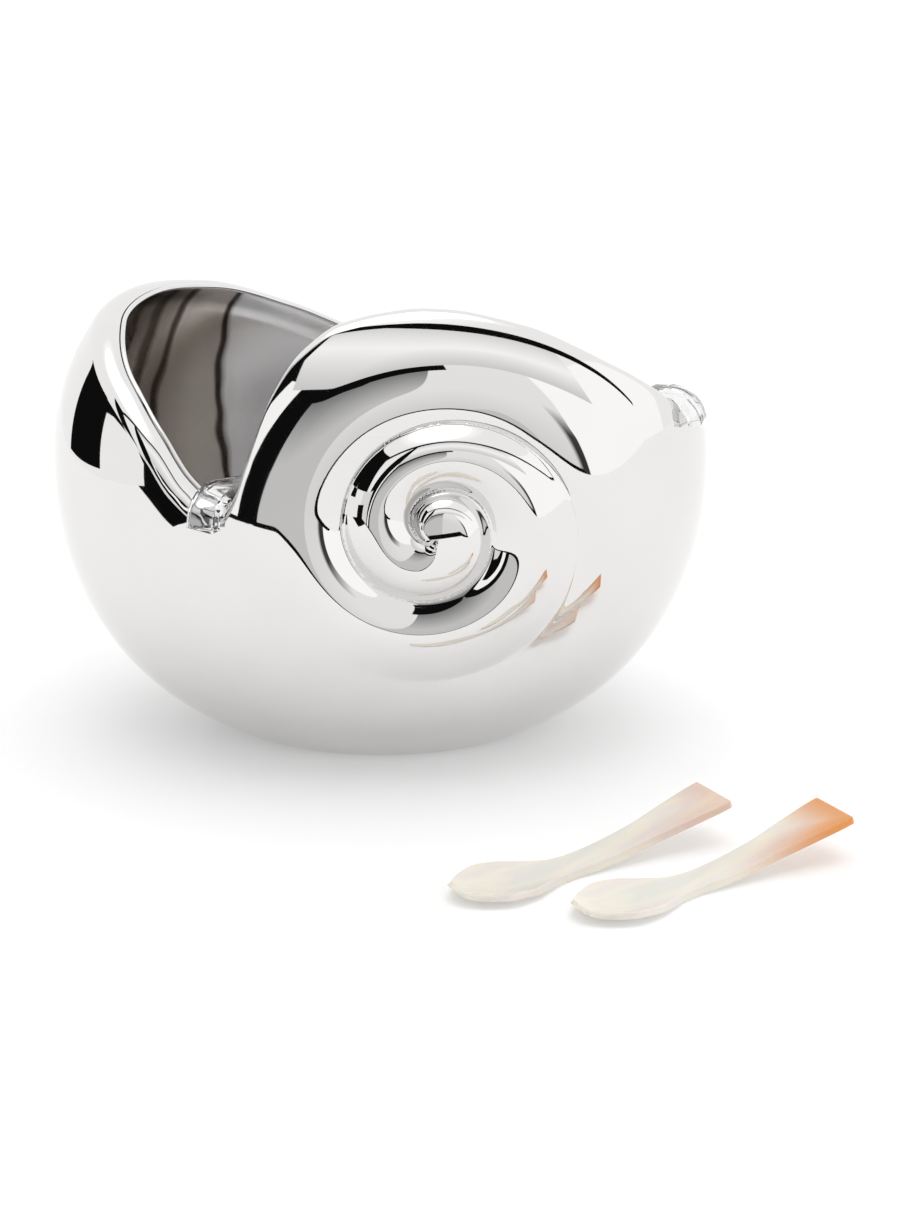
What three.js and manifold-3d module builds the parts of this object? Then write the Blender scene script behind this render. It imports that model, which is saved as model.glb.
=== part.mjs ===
// A caviar dish: a polished silver-plated shell bowl with a spiral pressed into its front
// lobe, a wire soldered round its mouth, a clear glass caviar cup that hangs in the mouth by
// three hooked arms, and two mother-of-pearl spoons that lie in front of it.
//
// Millimetres, +Z up. The origin is the centre of the flat that the bowl stands on, the
// front lobe looks along -Y, and azimuths turn from the front (0) towards +X (90).

import * as THREE from 'three';
import { mergeVertices } from 'three/addons/utils/BufferGeometryUtils.js';
import Module from 'manifold-3d';

const wasm = await Module();
wasm.setup();

const FULL_TURN = 360;

// Driving dimensions.

// The bowl's plain outer form is a full egg, deeper behind than in front, that leans back by
// a few degrees.
const BODY = {
  halfWidth: 109,
  frontDepth: 75,
  backDepth: 86,
  centreHeight: 93,
  reachBelow: 102,
  reachAbove: 86,
  fullness: 2.2,
  lean: 2,
};

// Height of the mouth's inner edge at each azimuth in degrees: the front lobe stands over the
// spiral, the back lobe over the left shoulder, and the left hook's notch lies between them.
const RIM_HEIGHTS = [
  [-65, 131], [-54, 117], [-46, 103], [-41, 98], [-36, 98], [-33, 105], [-30, 120], [-27, 136],
  [-22, 148], [-12, 156], [5, 160], [25, 160], [45, 153.5], [62, 138], [75, 121], [83, 112],
  [90, 109], [102, 105], [125, 101], [150, 103], [165, 107], [180, 113], [205, 130],
  [230, 143], [255, 148], [275, 145],
];

const WALL = 3.2;
const FLOOR_THICKNESS = 3.2;
// The outer surface rolls over to the mouth's inner edge by this much, which is also how
// thick the lip is; the thickening runs out over LIP_DEPTH below the edge.
const LIP_ROLL = 6.5;
const LIP_DEPTH = 14;

// The spiral is stamped square to a plane that faces this azimuth, about an eye on the body.
const SWIRL = {
  eyeAzimuth: 14.8,
  eyeHeight: 88.8,
  facingAzimuth: 5,
  grooveDepth: 6.5,
  creaseRadius: 0.7,
  whorlRise: 17,
  outerWhorlRise: 24,
  widening: [280, 440],
  edgeRadius: 53,
  backingFade: [40, 66],
};
// Radius of the groove at each turn angle in degrees, clockwise from the eye's left side.
const GROOVE_RADII = [
  [-80, 0], [0, 6], [45, 10.6], [90, 13.6], [135, 15.6], [180, 17.2], [225, 19.9], [270, 22.8],
  [315, 26.2], [360, 29.6], [405, 32.4], [450, 35], [495, 39.2], [540, 45.2], [585, 49.6],
  [630, 51.4], [675, 52.6], [720, 53],
];
// Share of the full groove depth at each turn angle: it opens from the eye, then runs out.
const GROOVE_STRENGTH = [
  [-80, 0], [0, 0.7], [90, 1], [180, 1.1], [270, 1], [400, 1], [470, 0.9], [540, 0.62],
  [600, 0.45], [640, 0.22], [670, 0],
];

const RIM_WIRE = { radius: 0.9, seatGap: 0.3, sides: 6 };

const CUP = {
  centreX: 5,
  centreY: 3,
  radius: 43,
  rimHeight: 98,
  depth: 41,
  wall: 3.6,
  footRadius: 15,
  rimRounding: 1.2,
  armWidth: 10.5,
  armThickness: 4.2,
  armEdge: 1.1,
  hookDrop: 7.5,
  seatGap: 0.35,
  hookAzimuths: [-38.5, 76, 160],
};
const CUP_SEGMENTS = 44;
// The cup's outer and inner profile as shares of its radius and depth, from the foot up.
const CUP_OUTSIDE = [[0.62, 0.05], [0.8, 0.16], [0.92, 0.34], [0.98, 0.58], [1, 0.82]];
const CUP_INSIDE = [[0.3, 0], [0.58, 0.05], [0.78, 0.18], [0.91, 0.38], [0.98, 0.64], [1, 0.9]];

const SPOON_LENGTH = 97;
// Half the spoon's width at each distance from the tip of its bowl.
const SPOON_HALF_WIDTHS = [
  [0, 0.6], [0.8, 3.6], [3, 6.8], [8, 10.6], [15, 13.2], [22, 12.4], [29, 9.3], [36, 6.4],
  [44, 5.4], [55, 5.7], [68, 6.2], [82, 7.9], [96.4, 9.4], [SPOON_LENGTH, 9],
];
// Height of the spoon's underside on its middle line. Cut from a curved shell, it rocks up
// to both ends and rests between the bowl and the neck.
const SPOON_UNDERSIDES = [
  [0, 4.8], [3, 1.8], [8, 0.4], [15, 0], [36, 0], [44, 0.4], [55, 1.9], [68, 4.8], [82, 8.6],
  [SPOON_LENGTH, 12.6],
];
const SPOON_THICKNESSES = [[0, 1.2], [6, 1.8], [22, 2.2], [38, 3], [60, 2.8], [SPOON_LENGTH, 2.2]];
// How far the edges of the bowl stand above its middle line.
const SPOON_DISHES = [[0, 0], [3, 1.2], [8, 2.2], [15, 2.5], [22, 1.9], [29, 1], [38, 0]];
const SPOON_STATIONS = [0, 0.8, 3, 6, 10, 15, 20, 25, 30, 36, 43, 51, 61, 72, 84, 96.4, SPOON_LENGTH];
const SPOON_SIDES = 10;
const SPOON_PLACES = [
  { name: 'spoon_left', tipX: 24.1, tipY: -151.8, turn: 32 },
  { name: 'spoon_right', tipX: 60.7, tipY: -164.2, turn: 32 },
];

// Mesh fineness.

// The bowl's columns run round from the left hook's notch, closer together over the spiral.
const NOTCH_AZIMUTH = -46;
const SWIRL_START_AZIMUTH = -29;
const SWIRL_END_AZIMUTH = 53;
const COLUMN_BANDS = [
  { from: NOTCH_AZIMUTH, to: SWIRL_START_AZIMUTH, steps: 8 },
  { from: SWIRL_START_AZIMUTH, to: SWIRL_END_AZIMUTH, steps: 14 },
  { from: SWIRL_END_AZIMUTH, to: NOTCH_AZIMUTH + FULL_TURN, steps: 40 },
];
const SWIRL_BAND = 1;
const WALL_ROWS = 20;
// Low rows run level and high rows follow the rim; a rim of this height changes neither.
const LEVEL_RIM_HEIGHT = 125;
const SWIRL_FIRST_ROW = 5;
const SWIRL_LAST_ROW = 19;
const LIP_ROWS = 4;
const INSIDE_ROWS = 9;
const WHORL_ROWS = 5;
const SKIRT_ROWS = 2;
const HOOK_STEPS = 4;
// Rows crowd towards the mouth by this power, and searches halve their range this often.
const INSIDE_CROWDING = 1.25;
const SEARCH_STEPS = 45;

// Finishes.

const silver = () => new THREE.MeshStandardMaterial({ color: 0xd9d7d3, roughness: 0.06, metalness: 1 });
const glass = () => new THREE.MeshStandardMaterial({ color: 0xeef3f2, roughness: 0.03, metalness: 0 });
const pearl = () => new THREE.MeshStandardMaterial({ color: 0xeee6d6, roughness: 0.25, metalness: 0 });

// Small helpers.

const radians = (degrees) => (degrees * Math.PI) / 180;
const degrees = (angle) => (angle * 180) / Math.PI;
const lerp = (a, b, t) => a + (b - a) * t;

function smoothStep(from, to, value) {
  const t = THREE.MathUtils.clamp((value - from) / (to - from), 0, 1);
  return t * t * (3 - 2 * t);
}

// A curve through [x, y] knots that never overshoots them (monotone cubic).
function curveThrough(knots) {
  const slopes = [];
  for (let i = 0; i + 1 < knots.length; i += 1) {
    slopes.push((knots[i + 1][1] - knots[i][1]) / (knots[i + 1][0] - knots[i][0]));
  }
  const tangents = knots.map((knot, i) => {
    const before = slopes[Math.max(i - 1, 0)];
    const after = slopes[Math.min(i, slopes.length - 1)];
    return before * after <= 0 ? 0 : (2 * before * after) / (before + after);
  });
  return (x) => {
    let i = 0;
    while (i + 2 < knots.length && x > knots[i + 1][0]) {
      i += 1;
    }
    const width = knots[i + 1][0] - knots[i][0];
    const t = THREE.MathUtils.clamp((x - knots[i][0]) / width, 0, 1);
    const rest = 1 - t;
    return (
      knots[i][1] * rest * rest * (1 + 2 * t) +
      knots[i + 1][1] * t * t * (3 - 2 * t) +
      width * tangents[i] * t * rest * rest -
      width * tangents[i + 1] * t * t * rest
    );
  };
}

// The same for knots round a full turn.
function curveRound(knots) {
  const turned = (by) => knots.map(([x, y]) => [x + by, y]);
  const curve = curveThrough([...turned(-FULL_TURN), ...knots, ...turned(FULL_TURN)]);
  const first = knots[0][0];
  return (x) => curve(first + THREE.MathUtils.euclideanModulo(x - first, FULL_TURN));
}

function bisect(low, high, isBelow) {
  let from = low;
  let to = high;
  for (let i = 0; i < SEARCH_STEPS; i += 1) {
    const middle = (from + to) / 2;
    if (isBelow(middle)) {
      from = middle;
    } else {
      to = middle;
    }
  }
  return (from + to) / 2;
}

// A closed surface is gathered as shared points and triangles.
class Surface {
  constructor() {
    this.points = [];
    this.triangles = [];
  }

  addPoint(point) {
    this.points.push(point);
    return this.points.length - 1;
  }

  addTriangle(a, b, c) {
    if (a !== b && b !== c && c !== a) {
      this.triangles.push(a, b, c);
    }
  }

  // Corners run anticlockwise as seen from outside.
  addQuad(a, b, c, d) {
    const acrossAC = this.points[a].distanceToSquared(this.points[c]);
    const acrossBD = this.points[b].distanceToSquared(this.points[d]);
    if (acrossAC <= acrossBD) {
      this.addTriangle(a, b, c);
      this.addTriangle(a, c, d);
    } else {
      this.addTriangle(a, b, d);
      this.addTriangle(b, c, d);
    }
  }

  toGeometry() {
    const geometry = new THREE.BufferGeometry();
    const positions = this.points.flatMap((point) => [point.x, point.y, point.z]);
    geometry.setAttribute('position', new THREE.Float32BufferAttribute(positions, 3));
    geometry.setIndex(this.triangles);
    return geometry;
  }
}

// Joins two rows of points. The second lies anticlockwise of the first as seen from outside
// when the rows run inwards, and clockwise of it when they run outwards.
function addBand(surface, here, next) {
  for (let row = 0; row + 1 < here.length; row += 1) {
    surface.addQuad(here[row], next[row], next[row + 1], here[row + 1]);
  }
}

// Joins two closed rings whose points turn anticlockwise as seen from the second one.
function addTube(surface, here, next) {
  here.forEach((_, i) => {
    const after = (i + 1) % here.length;
    surface.addQuad(here[i], here[after], next[after], next[i]);
  });
}

function addEnd(surface, ring, middle, isLast) {
  const centre = surface.addPoint(middle);
  ring.forEach((index, i) => {
    const after = ring[(i + 1) % ring.length];
    surface.addTriangle(isLast ? index : after, isLast ? after : index, centre);
  });
}

function toManifold(geometry) {
  const bare = geometry.clone();
  bare.deleteAttribute('normal');
  bare.deleteAttribute('uv');
  const shared = mergeVertices(bare);
  return new wasm.Manifold(new wasm.Mesh({
    numProp: 3,
    vertProperties: Float32Array.from(shared.getAttribute('position').array),
    triVerts: Uint32Array.from(shared.getIndex().array),
  }));
}

function fromManifold(solid) {
  const { vertProperties, triVerts } = solid.getMesh();
  const geometry = new THREE.BufferGeometry();
  geometry.setAttribute('position', new THREE.BufferAttribute(vertProperties, 3));
  geometry.setIndex(new THREE.BufferAttribute(triVerts, 1));
  return geometry;
}

// The same form with every point moved out along its normal, to cut a clearance with.
function grown(geometry, by) {
  const larger = geometry.clone();
  larger.computeVertexNormals();
  const positions = larger.getAttribute('position');
  const normals = larger.getAttribute('normal');
  for (let i = 0; i < positions.count; i += 1) {
    positions.setXYZ(
      i,
      positions.getX(i) + by * normals.getX(i),
      positions.getY(i) + by * normals.getY(i),
      positions.getZ(i) + by * normals.getZ(i),
    );
  }
  return larger;
}

// The bowl's form.

// Directions that lie under the flat base and over the mouth, for searches between them.
const LOWEST_ELEVATION = radians(-85);
const HIGHEST_ELEVATION = radians(80);

const bodyCentre = new THREE.Vector3(0, 0, BODY.centreHeight);
const rimHeight = curveRound(RIM_HEIGHTS);
const grooveRadius = curveThrough(GROOVE_RADII);
const grooveStrength = curveThrough(GROOVE_STRENGTH);

const heading = (azimuth) => new THREE.Vector3(Math.sin(azimuth), -Math.cos(azimuth), 0);
const alongAzimuth = (azimuth) => new THREE.Vector3(Math.cos(azimuth), Math.sin(azimuth), 0);

function bodyDepth(azimuth) {
  return lerp(BODY.backDepth, BODY.frontDepth, (1 + Math.cos(azimuth)) / 2);
}

// Distance from the body's centre to its plain surface in one direction.
function bodyRadius(azimuth, elevation) {
  const leaning = elevation - radians(BODY.lean) * Math.cos(azimuth);
  const level = Math.cos(leaning) * Math.hypot(
    Math.sin(azimuth) / BODY.halfWidth,
    Math.cos(azimuth) / bodyDepth(azimuth),
  );
  const reach = leaning < 0 ? BODY.reachBelow : BODY.reachAbove;
  const upright = Math.abs(Math.sin(leaning)) / reach;
  return (level ** BODY.fullness + upright ** BODY.fullness) ** (-1 / BODY.fullness);
}

function pointAt(azimuth, elevation, radius) {
  return heading(azimuth)
    .multiplyScalar(radius * Math.cos(elevation))
    .add(new THREE.Vector3(0, 0, radius * Math.sin(elevation)))
    .add(bodyCentre);
}

function elevationAtHeight(azimuth, height) {
  return bisect(LOWEST_ELEVATION, HIGHEST_ELEVATION, (elevation) =>
    BODY.centreHeight + bodyRadius(azimuth, elevation) * Math.sin(elevation) < height);
}

const rimElevation = (azimuth) => elevationAtHeight(azimuth, rimHeight(degrees(azimuth)));

// How far below the mouth's edge a direction lies, along the wall.
function belowRim(azimuth, elevation) {
  return (rimElevation(azimuth) - elevation) * bodyRadius(azimuth, elevation);
}

const swirlFacing = heading(radians(SWIRL.facingAzimuth));
const swirlRight = new THREE.Vector3(-swirlFacing.y, swirlFacing.x, 0);
const swirlUp = new THREE.Vector3(0, 0, 1);
const swirlEye = (() => {
  const azimuth = radians(SWIRL.eyeAzimuth);
  const elevation = elevationAtHeight(azimuth, SWIRL.eyeHeight);
  return pointAt(azimuth, elevation, bodyRadius(azimuth, elevation));
})();

// Depth of the spiral groove at a place in the stamp's plane, seen from the front.
function swirlDepth(right, up) {
  const radius = Math.hypot(right, up);
  const turn = THREE.MathUtils.euclideanModulo(degrees(Math.atan2(up, -right)), FULL_TURN);
  const firstTurn = GROOVE_RADII[0][0];
  const lastTurn = GROOVE_RADII.at(-1)[0];
  let outer = turn;
  while (outer < lastTurn && grooveRadius(outer) < radius) {
    outer += FULL_TURN;
  }
  const inner = outer - FULL_TURN;
  const innerRadius = inner > firstTurn ? grooveRadius(inner) : 0;
  let depth = 0;
  if (inner > firstTurn) {
    const rise = lerp(SWIRL.whorlRise, SWIRL.outerWhorlRise, smoothStep(...SWIRL.widening, inner));
    const away = Math.hypot(radius - innerRadius, SWIRL.creaseRadius) / rise;
    depth += SWIRL.grooveDepth * grooveStrength(inner) * Math.max(0, 1 - away) ** 2;
  }
  if (outer <= lastTurn) {
    const rise = (grooveRadius(outer) - innerRadius) / 2;
    const away = Math.hypot(grooveRadius(outer) - radius, SWIRL.creaseRadius) / rise;
    depth += SWIRL.grooveDepth * grooveStrength(outer) * Math.max(0, 1 - away) ** 2;
  }
  return depth;
}

// The stamp only marks the front of the body.
function stamped(point) {
  const fromEye = point.clone().sub(swirlEye);
  const right = fromEye.dot(swirlRight);
  const up = fromEye.dot(swirlUp);
  const reach = SWIRL.edgeRadius + SWIRL.outerWhorlRise;
  if (fromEye.dot(swirlFacing) < -SWIRL.edgeRadius || Math.hypot(right, up) > reach) {
    return point;
  }
  return point.clone().addScaledVector(swirlFacing, -swirlDepth(right, up));
}

// The wall thickens to the lip, and behind the spiral so that its grooves don't thin it.
function innerInset(azimuth, elevation) {
  const below = belowRim(azimuth, elevation);
  const lip = (LIP_ROLL - WALL) * (1 - smoothStep(0, LIP_DEPTH, below));
  const fromEye = pointAt(azimuth, elevation, bodyRadius(azimuth, elevation)).sub(swirlEye);
  const away = Math.hypot(fromEye.dot(swirlRight), fromEye.dot(swirlUp));
  const inFront = fromEye.dot(swirlFacing) > -SWIRL.edgeRadius ? 1 : 0;
  const backing = SWIRL.grooveDepth * inFront * (1 - smoothStep(...SWIRL.backingFade, away));
  return WALL + Math.max(lip, backing);
}

function innerPoint(azimuth, elevation) {
  return pointAt(azimuth, elevation, bodyRadius(azimuth, elevation) - innerInset(azimuth, elevation));
}

// The bowl's mesh.

const columnAzimuths = COLUMN_BANDS.flatMap(({ from, to, steps }) =>
  Array.from({ length: steps }, (_, i) => radians(lerp(from, to, i / steps))));
const columnCount = columnAzimuths.length;
const swirlFirstColumn = COLUMN_BANDS[0].steps;
const swirlLastColumn = swirlFirstColumn + COLUMN_BANDS[SWIRL_BAND].steps;

// Where the plain body lies under one place of the stamp's plane.
function underStamp(right, up) {
  const start = swirlEye.clone().addScaledVector(swirlRight, right).addScaledVector(swirlUp, up);
  const at = (depth) => start.clone().addScaledVector(swirlFacing, -depth);
  const depth = bisect(-SWIRL.edgeRadius / 2, SWIRL.edgeRadius, (value) => {
    const point = at(value).sub(bodyCentre);
    const azimuth = Math.atan2(point.x, -point.y);
    const elevation = Math.atan2(point.z, Math.hypot(point.x, point.y));
    return point.length() > bodyRadius(azimuth, elevation);
  });
  return at(depth);
}

// Spokes run out from the eye to the points of the ring, in clockwise order from where the
// groove opens, so that the groove itself can be a row of the mesh.
function spokesTo(surface, ring) {
  const opening = GROOVE_RADII[0][0];
  const spokes = ring.map((index) => {
    const fromEye = surface.points[index].clone().sub(swirlEye);
    const right = fromEye.dot(swirlRight);
    const up = fromEye.dot(swirlUp);
    const past = THREE.MathUtils.euclideanModulo(degrees(Math.atan2(up, -right)) - opening, FULL_TURN);
    return { index, turn: opening + past, reach: Math.hypot(right, up) };
  });
  return spokes.sort((a, b) => a.turn - b.turn);
}

// A strip of whorls winds out from the eye: its outer row is the groove, which is also the
// next turn's inner row. Past the groove's end the strip closes on a circle, and a skirt
// joins that circle to the ring that the wall's mesh leaves open.
function addSwirl(surface, ring) {
  const spokes = spokesTo(surface, ring);
  const count = spokes.length;
  const place = (spoke, radius) => {
    const angle = radians(spoke.turn);
    return surface.addPoint(stamped(underStamp(-radius * Math.cos(angle), radius * Math.sin(angle))));
  };
  const eye = surface.addPoint(stamped(swirlEye));
  const strip = [];
  const turns = Math.ceil((GROOVE_RADII.at(-1)[0] - GROOVE_RADII[0][0]) / FULL_TURN) + 1;
  for (let step = 0; step <= turns * count; step += 1) {
    const spoke = spokes[step % count];
    const turn = spoke.turn + FULL_TURN * Math.floor(step / count);
    const inner = step < count ? eye : strip[step - count].at(-1);
    const innerRadius = step < count ? 0 : grooveRadius(turn - FULL_TURN);
    const rows = [inner];
    for (let row = 1; row <= WHORL_ROWS; row += 1) {
      const radius = lerp(innerRadius, grooveRadius(turn), row / WHORL_ROWS);
      const isEdge = innerRadius >= SWIRL.edgeRadius;
      const isStart = step === 0 && row < WHORL_ROWS;
      rows.push(isEdge || isStart ? inner : place(spoke, radius));
    }
    strip.push(rows);
  }
  for (let step = 0; step + 1 < strip.length; step += 1) {
    addBand(surface, strip[step], strip[step + 1]);
  }
  const edge = strip.slice((turns - 1) * count, turns * count).map((rows) => rows.at(-1));
  const skirt = spokes.map((spoke, k) => {
    const rows = [edge[k]];
    for (let row = 1; row < SKIRT_ROWS; row += 1) {
      rows.push(place(spoke, lerp(SWIRL.edgeRadius, spoke.reach, row / SKIRT_ROWS)));
    }
    return [...rows, spoke.index];
  });
  skirt.forEach((rows, k) => addBand(surface, rows, skirt[(k + 1) % count]));
}

function outerColumn(surface, azimuth) {
  const top = rimElevation(azimuth);
  const radius = bodyRadius(azimuth, top);
  const base = elevationAtHeight(azimuth, 0);
  const lipStart = top - LIP_ROLL / radius;
  const level = elevationAtHeight(azimuth, LEVEL_RIM_HEIGHT);
  const column = [];
  for (let row = 0; row <= WALL_ROWS; row += 1) {
    const share = row / WALL_ROWS;
    const elevation = lerp(base, level, share) + (lipStart - level) * share ** 2;
    const plain = pointAt(azimuth, elevation, bodyRadius(azimuth, elevation));
    const point = row === 0 ? plain.setZ(0) : stamped(plain);
    column.push(surface.addPoint(point));
  }
  for (let row = 1; row <= LIP_ROWS; row += 1) {
    const roll = (Math.PI / 2) * (row / LIP_ROWS);
    const elevation = top - (LIP_ROLL * (1 - Math.sin(roll))) / radius;
    const inset = LIP_ROLL * (1 - Math.cos(roll));
    const point = pointAt(azimuth, elevation, bodyRadius(azimuth, elevation) - inset);
    column.push(surface.addPoint(stamped(point)));
  }
  return column;
}

function innerColumn(surface, azimuth, edge) {
  const top = rimElevation(azimuth);
  const floor = bisect(LOWEST_ELEVATION, 0, (elevation) =>
    innerPoint(azimuth, elevation).z < FLOOR_THICKNESS);
  const column = [edge];
  for (let row = 1; row <= INSIDE_ROWS; row += 1) {
    const share = row / INSIDE_ROWS;
    const elevation = lerp(top, floor, share ** INSIDE_CROWDING);
    const point = innerPoint(azimuth, elevation);
    column.push(surface.addPoint(row === INSIDE_ROWS ? point.setZ(FLOOR_THICKNESS) : point));
  }
  return column;
}

function bowlSurface() {
  const surface = new Surface();
  const outer = columnAzimuths.map((azimuth) => outerColumn(surface, azimuth));
  const inner = columnAzimuths.map((azimuth, i) => innerColumn(surface, azimuth, outer[i].at(-1)));
  const underside = surface.addPoint(new THREE.Vector3(0, 0, 0));
  const floor = surface.addPoint(new THREE.Vector3(0, 0, FLOOR_THICKNESS));
  const ring = new Set();
  for (let i = 0; i < columnCount; i += 1) {
    const next = (i + 1) % columnCount;
    const overSwirl = i >= swirlFirstColumn && i < swirlLastColumn;
    for (let row = 0; row < WALL_ROWS + LIP_ROWS; row += 1) {
      const corners = [outer[i][row], outer[next][row], outer[next][row + 1], outer[i][row + 1]];
      const isHole = overSwirl && row >= SWIRL_FIRST_ROW && row < SWIRL_LAST_ROW;
      if (!isHole) {
        surface.addQuad(...corners);
        continue;
      }
      const onSide = [i === swirlFirstColumn, i + 1 === swirlLastColumn];
      const onEnd = [row === SWIRL_FIRST_ROW, row + 1 === SWIRL_LAST_ROW];
      if (onSide[0] || onEnd[0]) ring.add(corners[0]);
      if (onSide[1] || onEnd[0]) ring.add(corners[1]);
      if (onSide[1] || onEnd[1]) ring.add(corners[2]);
      if (onSide[0] || onEnd[1]) ring.add(corners[3]);
    }
    addBand(surface, inner[i], inner[next]);
    surface.addTriangle(outer[next][0], outer[i][0], underside);
    surface.addTriangle(inner[i].at(-1), inner[next].at(-1), floor);
  }
  addSwirl(surface, [...ring]);
  return surface;
}

// The wire soldered along the mouth's inner edge.

function rimWireSurface() {
  const surface = new Surface();
  const rings = columnAzimuths.map((azimuth) => {
    const elevation = rimElevation(azimuth);
    const inset = LIP_ROLL + RIM_WIRE.seatGap + RIM_WIRE.radius;
    const radius = bodyRadius(azimuth, elevation) - inset;
    const centre = pointAt(azimuth, elevation, radius);
    const outward = centre.clone().sub(bodyCentre).normalize();
    const around = outward.clone().applyAxisAngle(alongAzimuth(azimuth), Math.PI / 2);
    return Array.from({ length: RIM_WIRE.sides }, (_, side) => {
      const angle = (2 * Math.PI * side) / RIM_WIRE.sides;
      return surface.addPoint(centre.clone()
        .addScaledVector(outward, RIM_WIRE.radius * Math.cos(angle))
        .addScaledVector(around, RIM_WIRE.radius * Math.sin(angle)));
    });
  });
  rings.forEach((ring, i) => addTube(surface, ring, rings[(i + 1) % rings.length]));
  return surface;
}

// The glass cup and its hooked arms.

function cupProfile() {
  const top = CUP.rimHeight;
  const bottom = top - CUP.depth;
  const inside = { radius: CUP.radius - CUP.wall, depth: CUP.depth - CUP.wall };
  const rounding = CUP.rimRounding;
  const points = [[0, bottom], [CUP.footRadius, bottom]];
  CUP_OUTSIDE.forEach(([reach, rise]) => points.push([CUP.radius * reach, bottom + CUP.depth * rise]));
  points.push([CUP.radius, top - rounding], [CUP.radius - rounding, top]);
  points.push([inside.radius + rounding, top], [inside.radius, top - rounding]);
  const climb = CUP_INSIDE.map(([reach, rise]) => [inside.radius * reach, top - inside.depth * (1 - rise)]);
  points.push(...climb.reverse(), [0, top - inside.depth]);
  return points.map(([x, y]) => new THREE.Vector2(x, y));
}

// The cup's hollow, reaching past its rim, to clear the ends of the arms out of it.
function cupHollowProfile() {
  const top = CUP.rimHeight;
  const inside = { radius: CUP.radius - CUP.wall, depth: CUP.depth - CUP.wall };
  const climb = CUP_INSIDE.map(([reach, rise]) => [inside.radius * reach, top - inside.depth * (1 - rise)]);
  const above = top + CUP.depth;
  const points = [[0, top - inside.depth], ...climb, [inside.radius, above], [0, above]];
  return points.map(([x, y]) => new THREE.Vector2(x, y));
}

function turnedRoundCup(profile) {
  return new THREE.LatheGeometry(profile, CUP_SEGMENTS)
    .rotateX(Math.PI / 2)
    .translate(CUP.centreX, CUP.centreY, 0);
}

// An arm's middle line in its upright plane: up the wall's outside, over the lip and in to the
// cup, as [distance from the upright axis, height].
function armLine(azimuth) {
  const top = rimElevation(azimuth);
  const half = CUP.armThickness / 2;
  const away = CUP.seatGap + half;
  const flat = (point) => [Math.hypot(point.x, point.y), point.z];
  const line = [];
  for (let i = 0; i <= HOOK_STEPS; i += 1) {
    const below = lerp(CUP.hookDrop, LIP_ROLL, i / HOOK_STEPS);
    const elevation = top - below / bodyRadius(azimuth, top);
    line.push(flat(pointAt(azimuth, elevation, bodyRadius(azimuth, elevation) + away)));
  }
  const lipReach = LIP_ROLL + away;
  const lipClimb = LIP_ROLL + away + RIM_WIRE.radius;
  for (let i = 1; i <= HOOK_STEPS; i += 1) {
    const roll = (Math.PI / 2) * (i / HOOK_STEPS);
    const elevation = top - (LIP_ROLL - lipClimb * Math.sin(roll)) / bodyRadius(azimuth, top);
    const radius = bodyRadius(azimuth, elevation) - LIP_ROLL + lipReach * Math.cos(roll);
    line.push(flat(pointAt(azimuth, elevation, radius)));
  }
  const overWire = line.at(-1);
  const wireWidth = 2 * (RIM_WIRE.seatGap + RIM_WIRE.radius);
  line.push([overWire[0] - wireWidth, overWire[1]]);
  const inward = bisect(0, BODY.halfWidth, (distance) => {
    const place = heading(azimuth).multiplyScalar(distance);
    const reach = Math.hypot(place.x - CUP.centreX, place.y - CUP.centreY);
    return reach < CUP.radius - CUP.wall;
  });
  line.push([inward, CUP.rimHeight - half]);
  return line;
}

function armSurface(azimuth) {
  const surface = new Surface();
  const out = heading(azimuth);
  const across = alongAzimuth(azimuth);
  const line = armLine(azimuth).map(([distance, height]) =>
    out.clone().multiplyScalar(distance).setZ(height));
  const width = CUP.armWidth / 2;
  const half = CUP.armThickness / 2;
  const edge = CUP.armEdge;
  const section = [
    [width, half - edge], [width - edge, half], [edge - width, half], [-width, half - edge],
    [-width, edge - half], [edge - width, -half], [width - edge, -half], [width, edge - half],
  ];
  const rings = line.map((point, i) => {
    const before = line[Math.max(i - 1, 0)];
    const after = line[Math.min(i + 1, line.length - 1)];
    const along = after.clone().sub(before).normalize();
    const normal = along.clone().cross(across);
    return section.map(([side, rise]) => surface.addPoint(point.clone()
      .addScaledVector(across, side)
      .addScaledVector(normal, rise)));
  });
  for (let i = 0; i + 1 < rings.length; i += 1) {
    addTube(surface, rings[i], rings[i + 1]);
  }
  addEnd(surface, rings[0], line[0], false);
  addEnd(surface, rings.at(-1), line.at(-1), true);
  return surface;
}

// Cutting the arms clear of the bowl and its wire can leave loose splinters, which go.
function cupGeometry(bowl, wire) {
  const arms = CUP.hookAzimuths.map((azimuth) => toManifold(armSurface(radians(azimuth)).toGeometry()));
  let cup = toManifold(turnedRoundCup(cupProfile()));
  arms.forEach((arm) => {
    cup = cup.add(arm);
  });
  cup = cup.subtract(toManifold(turnedRoundCup(cupHollowProfile())));
  cup = cup.subtract(toManifold(grown(bowl, CUP.seatGap)));
  cup = cup.subtract(toManifold(grown(wire, CUP.seatGap)));
  const largestFirst = cup.decompose().sort((a, b) => b.volume() - a.volume());
  return fromManifold(largestFirst[0]);
}

// The spoons.

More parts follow.
